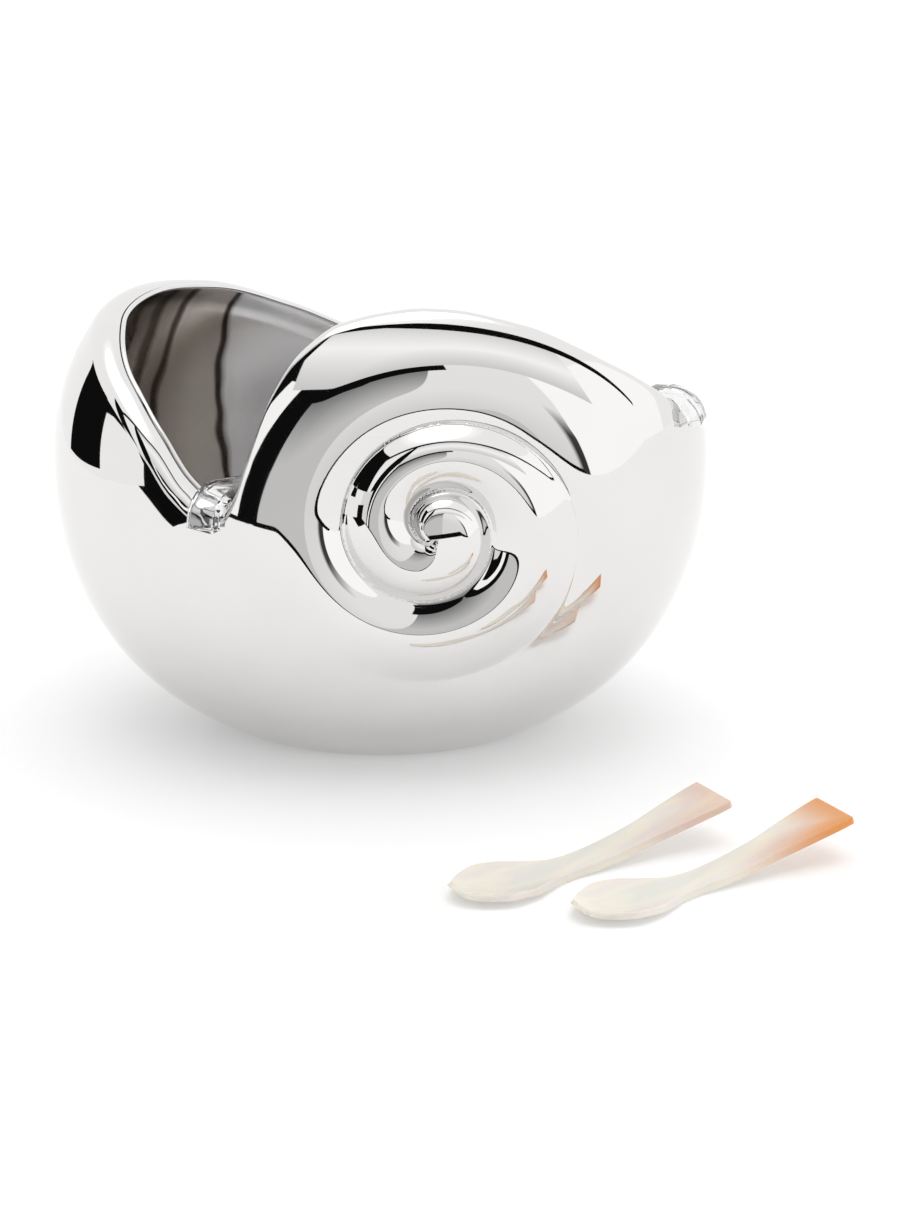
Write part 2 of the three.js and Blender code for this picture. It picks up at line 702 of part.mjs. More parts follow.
function spoonGeometry({ tipX, tipY, turn }) {
  const surface = new Surface();
  const halfWidth = curveThrough(SPOON_HALF_WIDTHS);
  const underside = curveThrough(SPOON_UNDERSIDES);
  const thickness = curveThrough(SPOON_THICKNESSES);
  const dish = curveThrough(SPOON_DISHES);
  const rings = SPOON_STATIONS.map((along) => {
    const ring = [];
    for (let i = 0; i < SPOON_SIDES; i += 1) {
      const angle = (2 * Math.PI * i) / SPOON_SIDES;
      const across = Math.cos(angle);
      const shell = dish(along) * across ** 2;
      const round = thickness(along) * (1 + Math.sin(angle)) / 2;
      ring.push(surface.addPoint(new THREE.Vector3(
        along,
        halfWidth(along) * across,
        underside(along) + shell + round,
      )));
    }
    return ring;
  });
  for (let i = 0; i + 1 < rings.length; i += 1) {
    addTube(surface, rings[i], rings[i + 1]);
  }
  const middle = (along) => new THREE.Vector3(along, 0, underside(along) + thickness(along) / 2);
  addEnd(surface, rings[0], middle(0), false);
  addEnd(surface, rings.at(-1), middle(SPOON_LENGTH), true);
  return surface.toGeometry().rotateZ(radians(turn)).translate(tipX, tipY, 0);
}

// The whole dish.

function piece(name, geometry, material) {
  const mesh = new THREE.Mesh(geometry, material);
  mesh.name = name;
  return mesh;
}

const bowl = bowlSurface().toGeometry();
const wire = rimWireSurface().toGeometry();

const dish = new THREE.Group();
dish.name = 'caviar_dish';
dish.add(piece('bowl_shell', bowl, silver()));
dish.add(piece('rim_wire', wire, silver()));
dish.add(piece('caviar_cup', cupGeometry(bowl, wire), glass()));
SPOON_PLACES.forEach((place) => {
  dish.add(piece(place.name, spoonGeometry(place), pearl()));
});

export default dish;
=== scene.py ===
"""A caviar dish in its studio: a mirror-polished shell bowl with a spiral in its front, a glass
cup hanging in its mouth, and two mother-of-pearl spoons lying before it.

Metres, +Z up. The origin is the centre of the bowl's flat base, the front looks along -Y, and
azimuths turn from the front (0) towards +X (90 degrees).
"""

import logging
import math
from dataclasses import dataclass, field
from enum import Enum
from typing import Callable, Sequence

import bpy
import numpy as np
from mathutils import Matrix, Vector


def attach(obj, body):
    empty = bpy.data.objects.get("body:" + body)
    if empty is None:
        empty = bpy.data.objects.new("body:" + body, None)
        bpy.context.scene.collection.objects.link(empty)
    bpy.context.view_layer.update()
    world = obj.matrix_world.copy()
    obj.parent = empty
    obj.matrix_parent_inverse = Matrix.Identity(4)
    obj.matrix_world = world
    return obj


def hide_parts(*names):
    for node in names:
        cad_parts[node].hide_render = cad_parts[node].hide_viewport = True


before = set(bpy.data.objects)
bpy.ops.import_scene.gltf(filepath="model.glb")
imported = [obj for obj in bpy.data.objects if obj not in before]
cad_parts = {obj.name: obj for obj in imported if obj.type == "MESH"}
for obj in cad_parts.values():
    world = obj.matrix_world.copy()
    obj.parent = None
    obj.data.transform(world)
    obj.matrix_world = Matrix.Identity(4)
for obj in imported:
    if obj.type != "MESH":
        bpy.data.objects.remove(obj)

log = logging.getLogger("caviar_dish")

MM = 0.001
FULL_TURN = 360.0
# Degrees at which a curve that goes round starts its turn.
SEAM = -90.0
# Halvings that bring a span of a metre, or of a half turn, far under a nanometre.
HALVINGS = 36
# Elevations in degrees between which the body's surface is looked for.
LOWEST, HIGHEST = -85, 80
# Points of a new mesh, and of a CAD node's, that are closer than this are one.
MERGING = 0.01 * MM
CAD_MERGING = 0.002 * MM

Knots = Sequence[tuple[float, float]]
Measure = Callable[[np.ndarray], np.ndarray]


class Turning(Enum):
    """How a curve goes on past its knots."""

    HELD = "held"
    ROUND = "round"


class SmoothCurve:
    """A curve through knots that never overshoots them (monotone cubic)."""

    def __init__(self, knots: Knots, turning: Turning = Turning.HELD) -> None:
        """Prepares the curve.

        Args:
            knots: pairs of place and value, in rising order of place.
            turning: ROUND repeats the knots every 360 degrees.
        """
        if turning is Turning.ROUND:
            knots = [(x + t, y) for t in (-FULL_TURN, 0.0, FULL_TURN) for x, y in knots]
        self.turning = turning
        self.places = np.array([x for x, _ in knots], float)
        self.values = np.array([y for _, y in knots], float)
        slopes = np.diff(self.values) / np.diff(self.places)
        before = np.concatenate([slopes[:1], slopes])
        after = np.concatenate([slopes, slopes[-1:]])
        total = np.where(before * after > 0, before + after, 1.0)
        self.tangents = np.where(before * after > 0, 2 * before * after / total, 0.0)

    def __call__(self, place: np.ndarray | float) -> np.ndarray:
        """Reads the curve off.

        Args:
            place: the places to read it at.

        Returns:
            The curve's value at each place.
        """
        x = np.asarray(place, float)
        if self.turning is Turning.ROUND:
            x = np.mod(x - SEAM, FULL_TURN) + SEAM
        i = np.clip(np.searchsorted(self.places, x) - 1, 0, len(self.places) - 2)
        width = self.places[i + 1] - self.places[i]
        t = np.clip((x - self.places[i]) / width, 0.0, 1.0)
        rest = 1.0 - t
        return (
            self.values[i] * rest**2 * (1 + 2 * t)
            + self.values[i + 1] * t**2 * (3 - 2 * t)
            + width * self.tangents[i] * t * rest**2
            - width * self.tangents[i + 1] * t**2 * rest
        )


def smooth_step(start: float, end: float, value: np.ndarray) -> np.ndarray:
    """Rises softly from 0 to 1.

    Args:
        start: the last value that gives 0.
        end: the first value that gives 1.
        value: the values to look up.

    Returns:
        The share of the rise at each value.
    """
    t = np.clip((value - start) / (end - start), 0.0, 1.0)
    return t * t * (3 - 2 * t)


def bisect(low: float, high: float, shape: tuple[int, ...], is_below: Measure) -> np.ndarray:
    """Finds, for each element, the value at which is_below turns false.

    Args:
        low: a value that is below for every element.
        high: a value that isn't below for any element.
        shape: the shape of the answer.
        is_below: takes an array of values and returns an array of booleans.

    Returns:
        The array of values.
    """
    start = np.full(shape, low, float)
    end = np.full(shape, high, float)
    for _ in range(HALVINGS):
        middle = (start + end) / 2
        below = is_below(middle)
        start = np.where(below, middle, start)
        end = np.where(below, end, middle)
    return (start + end) / 2


# Shapes

# The bowl mesh's attribute that is 1 on the inside, for the finish.
INSIDE_MASK = "inside"


@dataclass(frozen=True)
class ShellBody:
    """The bowl's plain outer form, a full egg, deeper behind than in front, that leans back."""

    half_width: float = 108.85 * MM
    front_depth: float = 75 * MM
    back_depth: float = 85.6 * MM
    centre_height: float = 93 * MM
    # From the centre to the tips of the egg, which the base and the mouth cut off.
    reach_below: float = 102 * MM
    reach_above: float = 86 * MM
    # 2 would be a true ellipsoid, and more is fuller.
    fullness: float = 2.2
    # Degrees that the body leans back.
    lean: float = 2.0

    def radius(self, azimuth: np.ndarray, elevation: np.ndarray) -> np.ndarray:
        """Measures from the body's centre to its surface.

        Args:
            azimuth: the directions' azimuths in radians.
            elevation: their elevations in radians.

        Returns:
            The distance in each direction.
        """
        share = (1 + np.cos(azimuth)) / 2
        depth = self.back_depth + (self.front_depth - self.back_depth) * share
        leaning = elevation - math.radians(self.lean) * np.cos(azimuth)
        level = np.cos(leaning) * np.hypot(
            np.sin(azimuth) / self.half_width, np.cos(azimuth) / depth
        )
        reach = np.where(leaning < 0, self.reach_below, self.reach_above)
        upright = np.abs(np.sin(leaning)) / reach
        return (level**self.fullness + upright**self.fullness) ** (-1 / self.fullness)

    def point(self, azimuth: np.ndarray, elevation: np.ndarray, radius: np.ndarray) -> np.ndarray:
        """Turns directions and distances from the body's centre into points.

        Args:
            azimuth: the directions' azimuths in radians.
            elevation: their elevations in radians.
            radius: the distances.

        Returns:
            The points.
        """
        flat = radius * np.cos(elevation)
        height = self.centre_height + radius * np.sin(elevation)
        return np.stack([flat * np.sin(azimuth), -flat * np.cos(azimuth), height], -1)

    def elevation_at(self, azimuth: np.ndarray, height: np.ndarray | float) -> np.ndarray:
        """Finds where the surface reaches a height.

        Args:
            azimuth: the azimuths to look at, in radians.
            height: the height over the table.

        Returns:
            The elevation there, seen from the body's centre.
        """
        azimuth = np.asarray(azimuth, float)

        def is_below(elevation: np.ndarray) -> np.ndarray:
            """Tells where the surface is still under the height."""
            reached = self.radius(azimuth, elevation) * np.sin(elevation)
            return self.centre_height + reached < height

        return bisect(math.radians(LOWEST), math.radians(HIGHEST), azimuth.shape, is_below)

    def direction(self, points: np.ndarray) -> tuple[np.ndarray, np.ndarray, np.ndarray]:
        """Turns points into directions and distances from the body's centre.

        Args:
            points: the points.

        Returns:
            Their azimuths, elevations and distances.
        """
        x, y, z = points[..., 0], points[..., 1], points[..., 2] - self.centre_height
        flat = np.hypot(x, y)
        return np.arctan2(x, -y), np.arctan2(z, flat), np.hypot(flat, z)


@dataclass(frozen=True)
class Mouth:
    """The mouth's edge, with its high front and back lobes, and the lip that rolls over to it."""

    # Azimuth in degrees and height in millimetres.
    heights: Knots = (
        (-65, 131), (-54, 117), (-46, 103), (-41, 98), (-36, 98), (-33, 105), (-30, 120),
        (-27, 136), (-22, 148), (-12, 156), (5, 159.3), (15, 159.98), (26, 159.3), (45, 153.5),
        (62, 138), (75, 121), (83, 112), (90, 109), (102, 105), (125, 101), (150, 103),
        (165, 107), (180, 113), (205, 130), (230, 143), (255, 148), (275, 145),
    )  # fmt: skip
    # Radius of the rolled lip, how far down it thickens the wall, and the plain wall.
    lip_roll: float = 6.5 * MM
    lip_depth: float = 14 * MM
    wall: float = 3.2 * MM

    def height(self, azimuth: np.ndarray) -> np.ndarray:
        """Returns the height of the edge at each azimuth in radians."""
        return SmoothCurve(self.heights, Turning.ROUND)(np.degrees(azimuth)) * MM


@dataclass(frozen=True)
class Spiral:
    """The snail groove stamped square to a plane in front of the bowl, about an eye.

    Angles are in degrees. Turns are angles too, clockwise from the eye's left, and count on
    past a whole turn.
    """

    eye_azimuth: float = 14.8
    eye_height: float = 88.8 * MM
    facing_azimuth: float = 5.0
    groove_depth: float = 6.5 * MM
    crease_radius: float = 0.7 * MM
    # Widths over which a whorl rises from the groove inside it, and the turns between which
    # the first widens to the second.
    whorl_rise: float = 17 * MM
    outer_whorl_rise: float = 24 * MM
    widening: tuple[float, float] = (280.0, 440.0)
    least_width: float = 1 * MM
    edge_radius: float = 53 * MM
    # Distances from the eye over which the wall behind the spiral thins to the plain wall.
    backing_fade: tuple[float, float] = (40 * MM, 66 * MM)
    # Groove radius in millimetres at each turn.
    radii: Knots = (
        (-80, 0), (0, 6), (45, 10.6), (90, 13.6), (135, 15.6), (180, 17.2), (225, 19.9),
        (270, 22.8), (315, 26.2), (360, 29.6), (405, 32.4), (450, 35), (495, 39.2),
        (540, 45.2), (585, 49.6), (630, 51.4), (675, 52.6), (720, 53),
    )  # fmt: skip
    # Share of the full groove depth: it opens from the eye, then runs out.
    strengths: Knots = (
        (-80, 0), (0, 0.7), (90, 1), (180, 1.1), (270, 1), (400, 1), (470, 0.9), (540, 0.62),
        (600, 0.45), (640, 0.22), (670, 0),
    )  # fmt: skip

    def radius(self, turn: np.ndarray) -> np.ndarray:
        """Returns the groove's radius at each turn in degrees."""
        return SmoothCurve(self.radii)(turn) * MM

    def crease_depth(self, turn: np.ndarray) -> np.ndarray:
        """Returns the depth of the groove's crease at each turn in degrees."""
        return self.groove_depth * SmoothCurve(self.strengths)(turn)

    def depth(self, right: np.ndarray, up: np.ndarray) -> np.ndarray:
        """Measures how deep the stamp presses.

        Args:
            right: how far right of the eye each place is, seen from the front.
            up: how far above the eye it is.

        Returns:
            The depth at each place.
        """
        radius = np.hypot(right, up)
        turn = np.mod(np.degrees(np.arctan2(up, -right)), FULL_TURN)
        first, last = self.radii[0][0], self.radii[-1][0]
        # Each place lies in the whorl between an outer groove and the one a turn before it.
        outer = turn
        for _ in range(math.ceil(last / FULL_TURN) + 1):
            further = (outer < last) & (self.radius(outer) < radius)
            outer = np.where(further, outer + FULL_TURN, outer)
        inner = outer - FULL_TURN
        has_inner = inner > first
        inner_radius = np.where(has_inner, self.radius(inner), 0.0)
        gain = smooth_step(*self.widening, inner)
        rise = self.whorl_rise + (self.outer_whorl_rise - self.whorl_rise) * gain
        away = np.hypot(radius - inner_radius, self.crease_radius) / rise
        total = np.where(has_inner, self.crease_depth(inner) * np.clip(1 - away, 0, None) ** 2, 0.0)
        width = np.maximum(self.radius(outer) - inner_radius, self.least_width)
        away = np.hypot(self.radius(outer) - radius, self.crease_radius) / (width / 2)
        pressed = self.crease_depth(outer) * np.clip(1 - away, 0, None) ** 2
        return total + np.where(outer <= last, pressed, 0.0)


@dataclass
class ShellBowl:
    """The polished bowl: outer wall with the spiral, rolled lip, inside and flat base."""

    body: ShellBody = field(default_factory=ShellBody)
    mouth: Mouth = field(default_factory=Mouth)
    spiral: Spiral = field(default_factory=Spiral)
    floor_thickness: float = 3.2 * MM
    # First and last azimuth in degrees and number of columns of each band of the mesh.
    bands: Sequence[tuple[float, float, int]] = ((-46, -29, 24), (-29, 53, 92), (53, 314, 190))
    wall_rows: int = 96
    # The spiral's own mesh takes the place of this band between these rows of the wall.
    swirl_band: int = 1
    swirl_rows: tuple[int, int] = (24, 91)
    lip_rows: int = 14
    # Height at which the wall's rows would end if the edge were level.
    level_rim_height: float = 125 * MM
    inside_rows: int = 60
    # Over 1, the rows of the inside crowd towards the lip.
    inside_crowding: float = 1.25
    # Rows across a whorl, and from the last one to the band's own columns and rows.
    whorl_rows: int = 26
    skirt_rows: int = 8
    # Edges sharper than this, in degrees, stay crisp.
    crispness: float = 50

    def __post_init__(self) -> None:
        """Works out the mesh's columns and the stamp's plane."""
        columns = [
            start + (end - start) * np.arange(steps) / steps for start, end, steps in self.bands
        ]
        self.azimuths = np.radians(np.concatenate(columns))
        facing = math.radians(self.spiral.facing_azimuth)
        self.facing = np.array([math.sin(facing), -math.cos(facing), 0.0])
        self.right = np.array([math.cos(facing), math.sin(facing), 0.0])
        azimuth = np.array(math.radians(self.spiral.eye_azimuth))
        elevation = self.body.elevation_at(azimuth, self.spiral.eye_height)
        self.eye = self.body.point(azimuth, elevation, self.body.radius(azimuth, elevation))

    def in_plane(self, points: np.ndarray) -> tuple[np.ndarray, np.ndarray]:
        """Returns how far right of and above the eye points lie in the stamp's plane."""
        from_eye = points - self.eye
        return from_eye @ self.right, from_eye[..., 2]

    def stamped(self, points: np.ndarray) -> np.ndarray:
        """Presses the spiral into the wall.

        Args:
            points: points of the plain wall.

        Returns:
            The points where the stamp leaves them.
        """
        right, up = self.in_plane(points)
        reach = self.spiral.edge_radius + self.spiral.outer_whorl_rise
        is_near = np.hypot(right, up) <= reach
        is_front = (points - self.eye) @ self.facing > -self.spiral.edge_radius
        depth = np.where(is_near & is_front, self.spiral.depth(right, up), 0.0)
        return points - depth[..., None] * self.facing

    def under_stamp(self, right: np.ndarray, up: np.ndarray) -> np.ndarray:
        """Finds the plain body under the stamp.

        Args:
            right: how far right of the eye each place is, in the stamp's plane.
            up: how far above the eye it is.

        Returns:
            The points of the plain body.
        """
        start = self.eye + right[..., None] * self.right + up[..., None] * np.array([0, 0, 1.0])
        edge = self.spiral.edge_radius

        def is_outside(depth: np.ndarray) -> np.ndarray:
            """Tells where the stamp is still outside the body."""
            azimuth, elevation, radius = self.body.direction(start - depth[..., None] * self.facing)
            return radius > self.body.radius(azimuth, elevation)

        depth = bisect(-edge / 2, edge, right.shape, is_outside)
        return start - depth[..., None] * self.facing

    def rim_elevation(self, azimuth: np.ndarray) -> np.ndarray:
        """Returns the elevation of the mouth's edge at each azimuth."""
        return self.body.elevation_at(azimuth, self.mouth.height(azimuth))

    def outer_columns(self) -> np.ndarray:
        """Works out the outer wall and lip.

        Returns:
            Their points, column by column from the base up.
        """
        azimuth = self.azimuths[:, None]
        roll = self.mouth.lip_roll
        top = self.rim_elevation(azimuth)
        radius = self.body.radius(azimuth, top)
        base = self.body.elevation_at(azimuth, 0.0)
        level = self.body.elevation_at(azimuth, self.level_rim_height)
        lip_start = top - roll / radius
        share = np.linspace(0, 1, self.wall_rows + 1)[None, :]
        elevation = base + (level - base) * share + (lip_start - level) * share**2
        wall = self.body.point(azimuth, elevation, self.body.radius(azimuth, elevation))
        # The lip is a quarter round.
        turn = np.linspace(0, math.pi / 2, self.lip_rows + 1)[None, 1:]
        elevation = top - roll * (1 - np.sin(turn)) / radius
        inset = roll * (1 - np.cos(turn))
        lip = self.body.point(azimuth, elevation, self.body.radius(azimuth, elevation) - inset)
        columns = self.stamped(np.concatenate([wall, lip], axis=1))
        columns[:, 0, 2] = 0.0
        return columns

    def inner_point(self, azimuth: np.ndarray, elevation: np.ndarray) -> np.ndarray:
        """Finds the inside surface, thicker at the lip and behind the spiral.

        Args:
            azimuth: the azimuths to look at, in radians.
            elevation: their elevations from the body's centre, in radians.

        Returns:
            The points of the inside.
        """
        radius = self.body.radius(azimuth, elevation)
        below = (self.rim_elevation(azimuth) - elevation) * radius
        thicker = self.mouth.lip_roll - self.mouth.wall
        lip = thicker * (1 - smooth_step(0, self.mouth.lip_depth, below))
        plain = self.body.point(azimuth, elevation, radius)
        away = np.hypot(*self.in_plane(plain))
        in_front = (plain - self.eye) @ self.facing > -self.spiral.edge_radius
        backing = (1 - smooth_step(*self.spiral.backing_fade, away)) * in_front
        inset = self.mouth.wall + np.maximum(lip, self.spiral.groove_depth * backing)
        return self.body.point(azimuth, elevation, radius - inset)

    def inner_columns(self) -> np.ndarray:
        """Works out the inside wall.

        Returns:
            Its points, column by column from below the edge to the floor.
        """
        azimuth = self.azimuths[:, None]

        def is_under_floor(elevation: np.ndarray) -> np.ndarray:
            """Tells where the inside is still under the floor."""
            return self.inner_point(azimuth, elevation)[..., 2] < self.floor_thickness

        floor = bisect(math.radians(LOWEST), 0.0, azimuth.shape, is_under_floor)
        top = self.rim_elevation(azimuth)
        share = np.linspace(0, 1, self.inside_rows + 1)[None, 1:] ** self.inside_crowding
        columns = self.inner_point(azimuth, top + (floor - top) * share)
        columns[:, -1, 2] = self.floor_thickness
        return columns

    def build(self) -> bpy.types.Object:
        """Builds the bowl as one closed mesh.

        No modelling operator gives this form: it is worked out point by point, with the
        groove itself as a row of the mesh, so that a mirror finish shows no steps along it.

        Returns:
            The bowl, smooth but for the mouth's crisp inner edge.
        """
        points: list[np.ndarray] = []
        count = 0

        def add(new: np.ndarray) -> np.ndarray:
            """Takes in new points.

            Args:
                new: the points.

            Returns:
                Their numbers, laid out as the points are.
            """
            nonlocal count
            points.append(new.reshape(-1, 3))
            index = np.arange(count, count + points[-1].shape[0]).reshape(new.shape[:-1])
            count += points[-1].shape[0]
            return index

        outer = add(self.outer_columns())
        inner = np.concatenate([outer[:, -1:], add(self.inner_columns())], axis=1)
        centres = add(np.array([[0, 0, 0], [0, 0, self.floor_thickness]], float))
        first = self.bands[0][2]
        last = first + self.bands[self.swirl_band][2]
        low, high = self.swirl_rows
        quads = [self.band_quads(outer[:, : low + 1]), self.band_quads(outer[:, high:])]
        beside = np.r_[np.arange(last, len(self.azimuths)), np.arange(0, first + 1)]
        quads.append(self.strip_quads(outer[beside][:, low : high + 1]))
        quads.append(self.band_quads(inner))
        around = np.roll(np.arange(len(outer)), -1)
        fans = [
            np.stack([outer[around, 0], outer[:, 0], np.full(len(outer), centres[0])], -1),
            np.stack([inner[:, -1], inner[around, -1], np.full(len(outer), centres[1])], -1),
        ]
        ring = np.concatenate(
            [
                outer[first, low:high],
                outer[first:last, high],
                outer[last, high:low:-1],
                outer[last:first:-1, low],
            ]
        )
        quads.append(self.swirl_quads(np.concatenate(points), ring, add))
        faces = [tuple(face) for fan in fans for face in fan.tolist()]
        for quad in np.concatenate(quads).tolist():
            corners = tuple(dict.fromkeys(quad))
            if len(corners) > 2:
                faces.append(corners)
        bowl = mesh_object("bowl", np.concatenate(points).tolist(), [], faces)
        is_inside = np.zeros(count)
        is_inside[inner[:, 1:]] = 1.0
        is_inside[centres[1]] = 1.0
        mask = bowl.data.attributes.new(INSIDE_MASK, "FLOAT", "POINT")
        mask.data.foreach_set("value", is_inside)
        finish_shading(bowl, self.crispness)
        return bowl

    @staticmethod
    def strip_quads(grid: np.ndarray) -> np.ndarray:
        """Joins neighbouring columns of points.

        Args:
            grid: the point numbers, column by column.

        Returns:
            The faces, as rows of four point numbers.
        """
        here, there = grid[:-1], grid[1:]
        corners = [here[:, :-1], there[:, :-1], there[:, 1:], here[:, 1:]]
        return np.stack(corners, -1).reshape(-1, 4)

    def band_quads(self, grid: np.ndarray) -> np.ndarray:
        """Returns the faces of a grid that closes on itself round the bowl."""
        closed = np.concatenate([grid, grid[:1]])
        return self.strip_quads(closed)

    def swirl_quads(self, points: np.ndarray, ring: np.ndarray, add: Measure) -> np.ndarray:
        """Fills the opening in the wall with whorls that wind out from the eye.

        Args:
            points: the points made so far.
            ring: the point numbers round the opening.
            add: takes new points and returns their numbers.

        Returns:
            The faces, as rows of four point numbers.
        """
        opening = self.spiral.radii[0][0]
        right, up = self.in_plane(points[ring])
        turns = opening + np.mod(np.degrees(np.arctan2(up, -right)) - opening, FULL_TURN)
        order = np.argsort(turns)
        ring, turns, reach = ring[order], turns[order], np.hypot(right, up)[order]
        spokes = len(ring)
        edge = self.spiral.edge_radius
        rounds = math.ceil((self.spiral.radii[-1][0] - opening) / FULL_TURN) + 1
        steps = rounds * spokes + 1
        turn = np.array([turns[i % spokes] + FULL_TURN * (i // spokes) for i in range(steps)])
        is_first = np.arange(steps) < spokes
        inner = np.where(is_first, 0.0, self.spiral.radius(turn - FULL_TURN))
        outer = self.spiral.radius(turn)
        spread = (1 - np.cos(np.linspace(0, math.pi, self.whorl_rows + 1)[1:])) / 2
        radius = inner[:, None] + (outer - inner)[:, None] * spread
        made = add(self.placed(turn[:, None], radius))
        eye = add(self.stamped(self.eye[None, :]))[0]
        # A whorl starts at the eye, or on the groove where the whorl a turn before it ends.
        strip = np.zeros((steps, self.whorl_rows + 1), int)
        strip[:, 1:] = made
        for step in range(steps):
            strip[step, 0] = eye if step < spokes else strip[step - spokes, -1]
            if inner[step] >= edge:
                strip[step, 1:] = strip[step, 0]
        strip[0, 1:-1] = eye
        rim = strip[(rounds - 1) * spokes : rounds * spokes, -1]
        share = np.arange(1, self.skirt_rows)[None, :] / self.skirt_rows
        between = add(self.placed(turns[:, None], edge + (reach[:, None] - edge) * share))
        skirt = np.concatenate([rim[:, None], between, ring[:, None]], axis=1)
        return np.concatenate([self.strip_quads(strip), self.band_quads(skirt)])

    def placed(self, turn: np.ndarray, radius: np.ndarray) -> np.ndarray:
        """Returns the pressed surface at turns in degrees and radii about the eye."""
        angle = np.radians(turn)
        return self.stamped(self.under_stamp(-radius * np.cos(angle), radius * np.sin(angle)))


@dataclass
class RimWire:
    """The thin wire soldered along the mouth's inner edge."""

    bowl: ShellBowl
    radius: float = 0.9 * MM
    # Space between the wire and the lip's inner edge.
    seat_gap: float = 0.3 * MM
    # Steps in a quarter of its round section, less one.
    roundness: int = 4
    # Edges sharper than this, in degrees, stay crisp.
    crispness: float = 60

    def build(self) -> bpy.types.Object:
        """Bends a round wire along the mouth.

        Returns:
            The wire as a mesh.
        """
        azimuth = self.bowl.azimuths
        elevation = self.bowl.rim_elevation(azimuth)
        inset = self.bowl.mouth.lip_roll + self.seat_gap + self.radius
        radius = self.bowl.body.radius(azimuth, elevation) - inset
        path = self.bowl.body.point(azimuth, elevation, radius)
        curve = bpy.data.curves.new("rim_wire_soldered", "CURVE")
        curve.dimensions = "3D"
        curve.bevel_depth = self.radius
        curve.bevel_resolution = self.roundness
        spline = curve.splines.new("POLY")
        spline.points.add(len(path) - 1)
        for point, place in zip(spline.points, path.tolist()):
            point.co = (*place, 1.0)
        spline.use_cyclic_u = True
        select_only(linked(curve.name, curve))
        bpy.ops.object.convert(target="MESH")
        wire = bpy.context.object
        finish_shading(wire, self.crispness)
        return wire


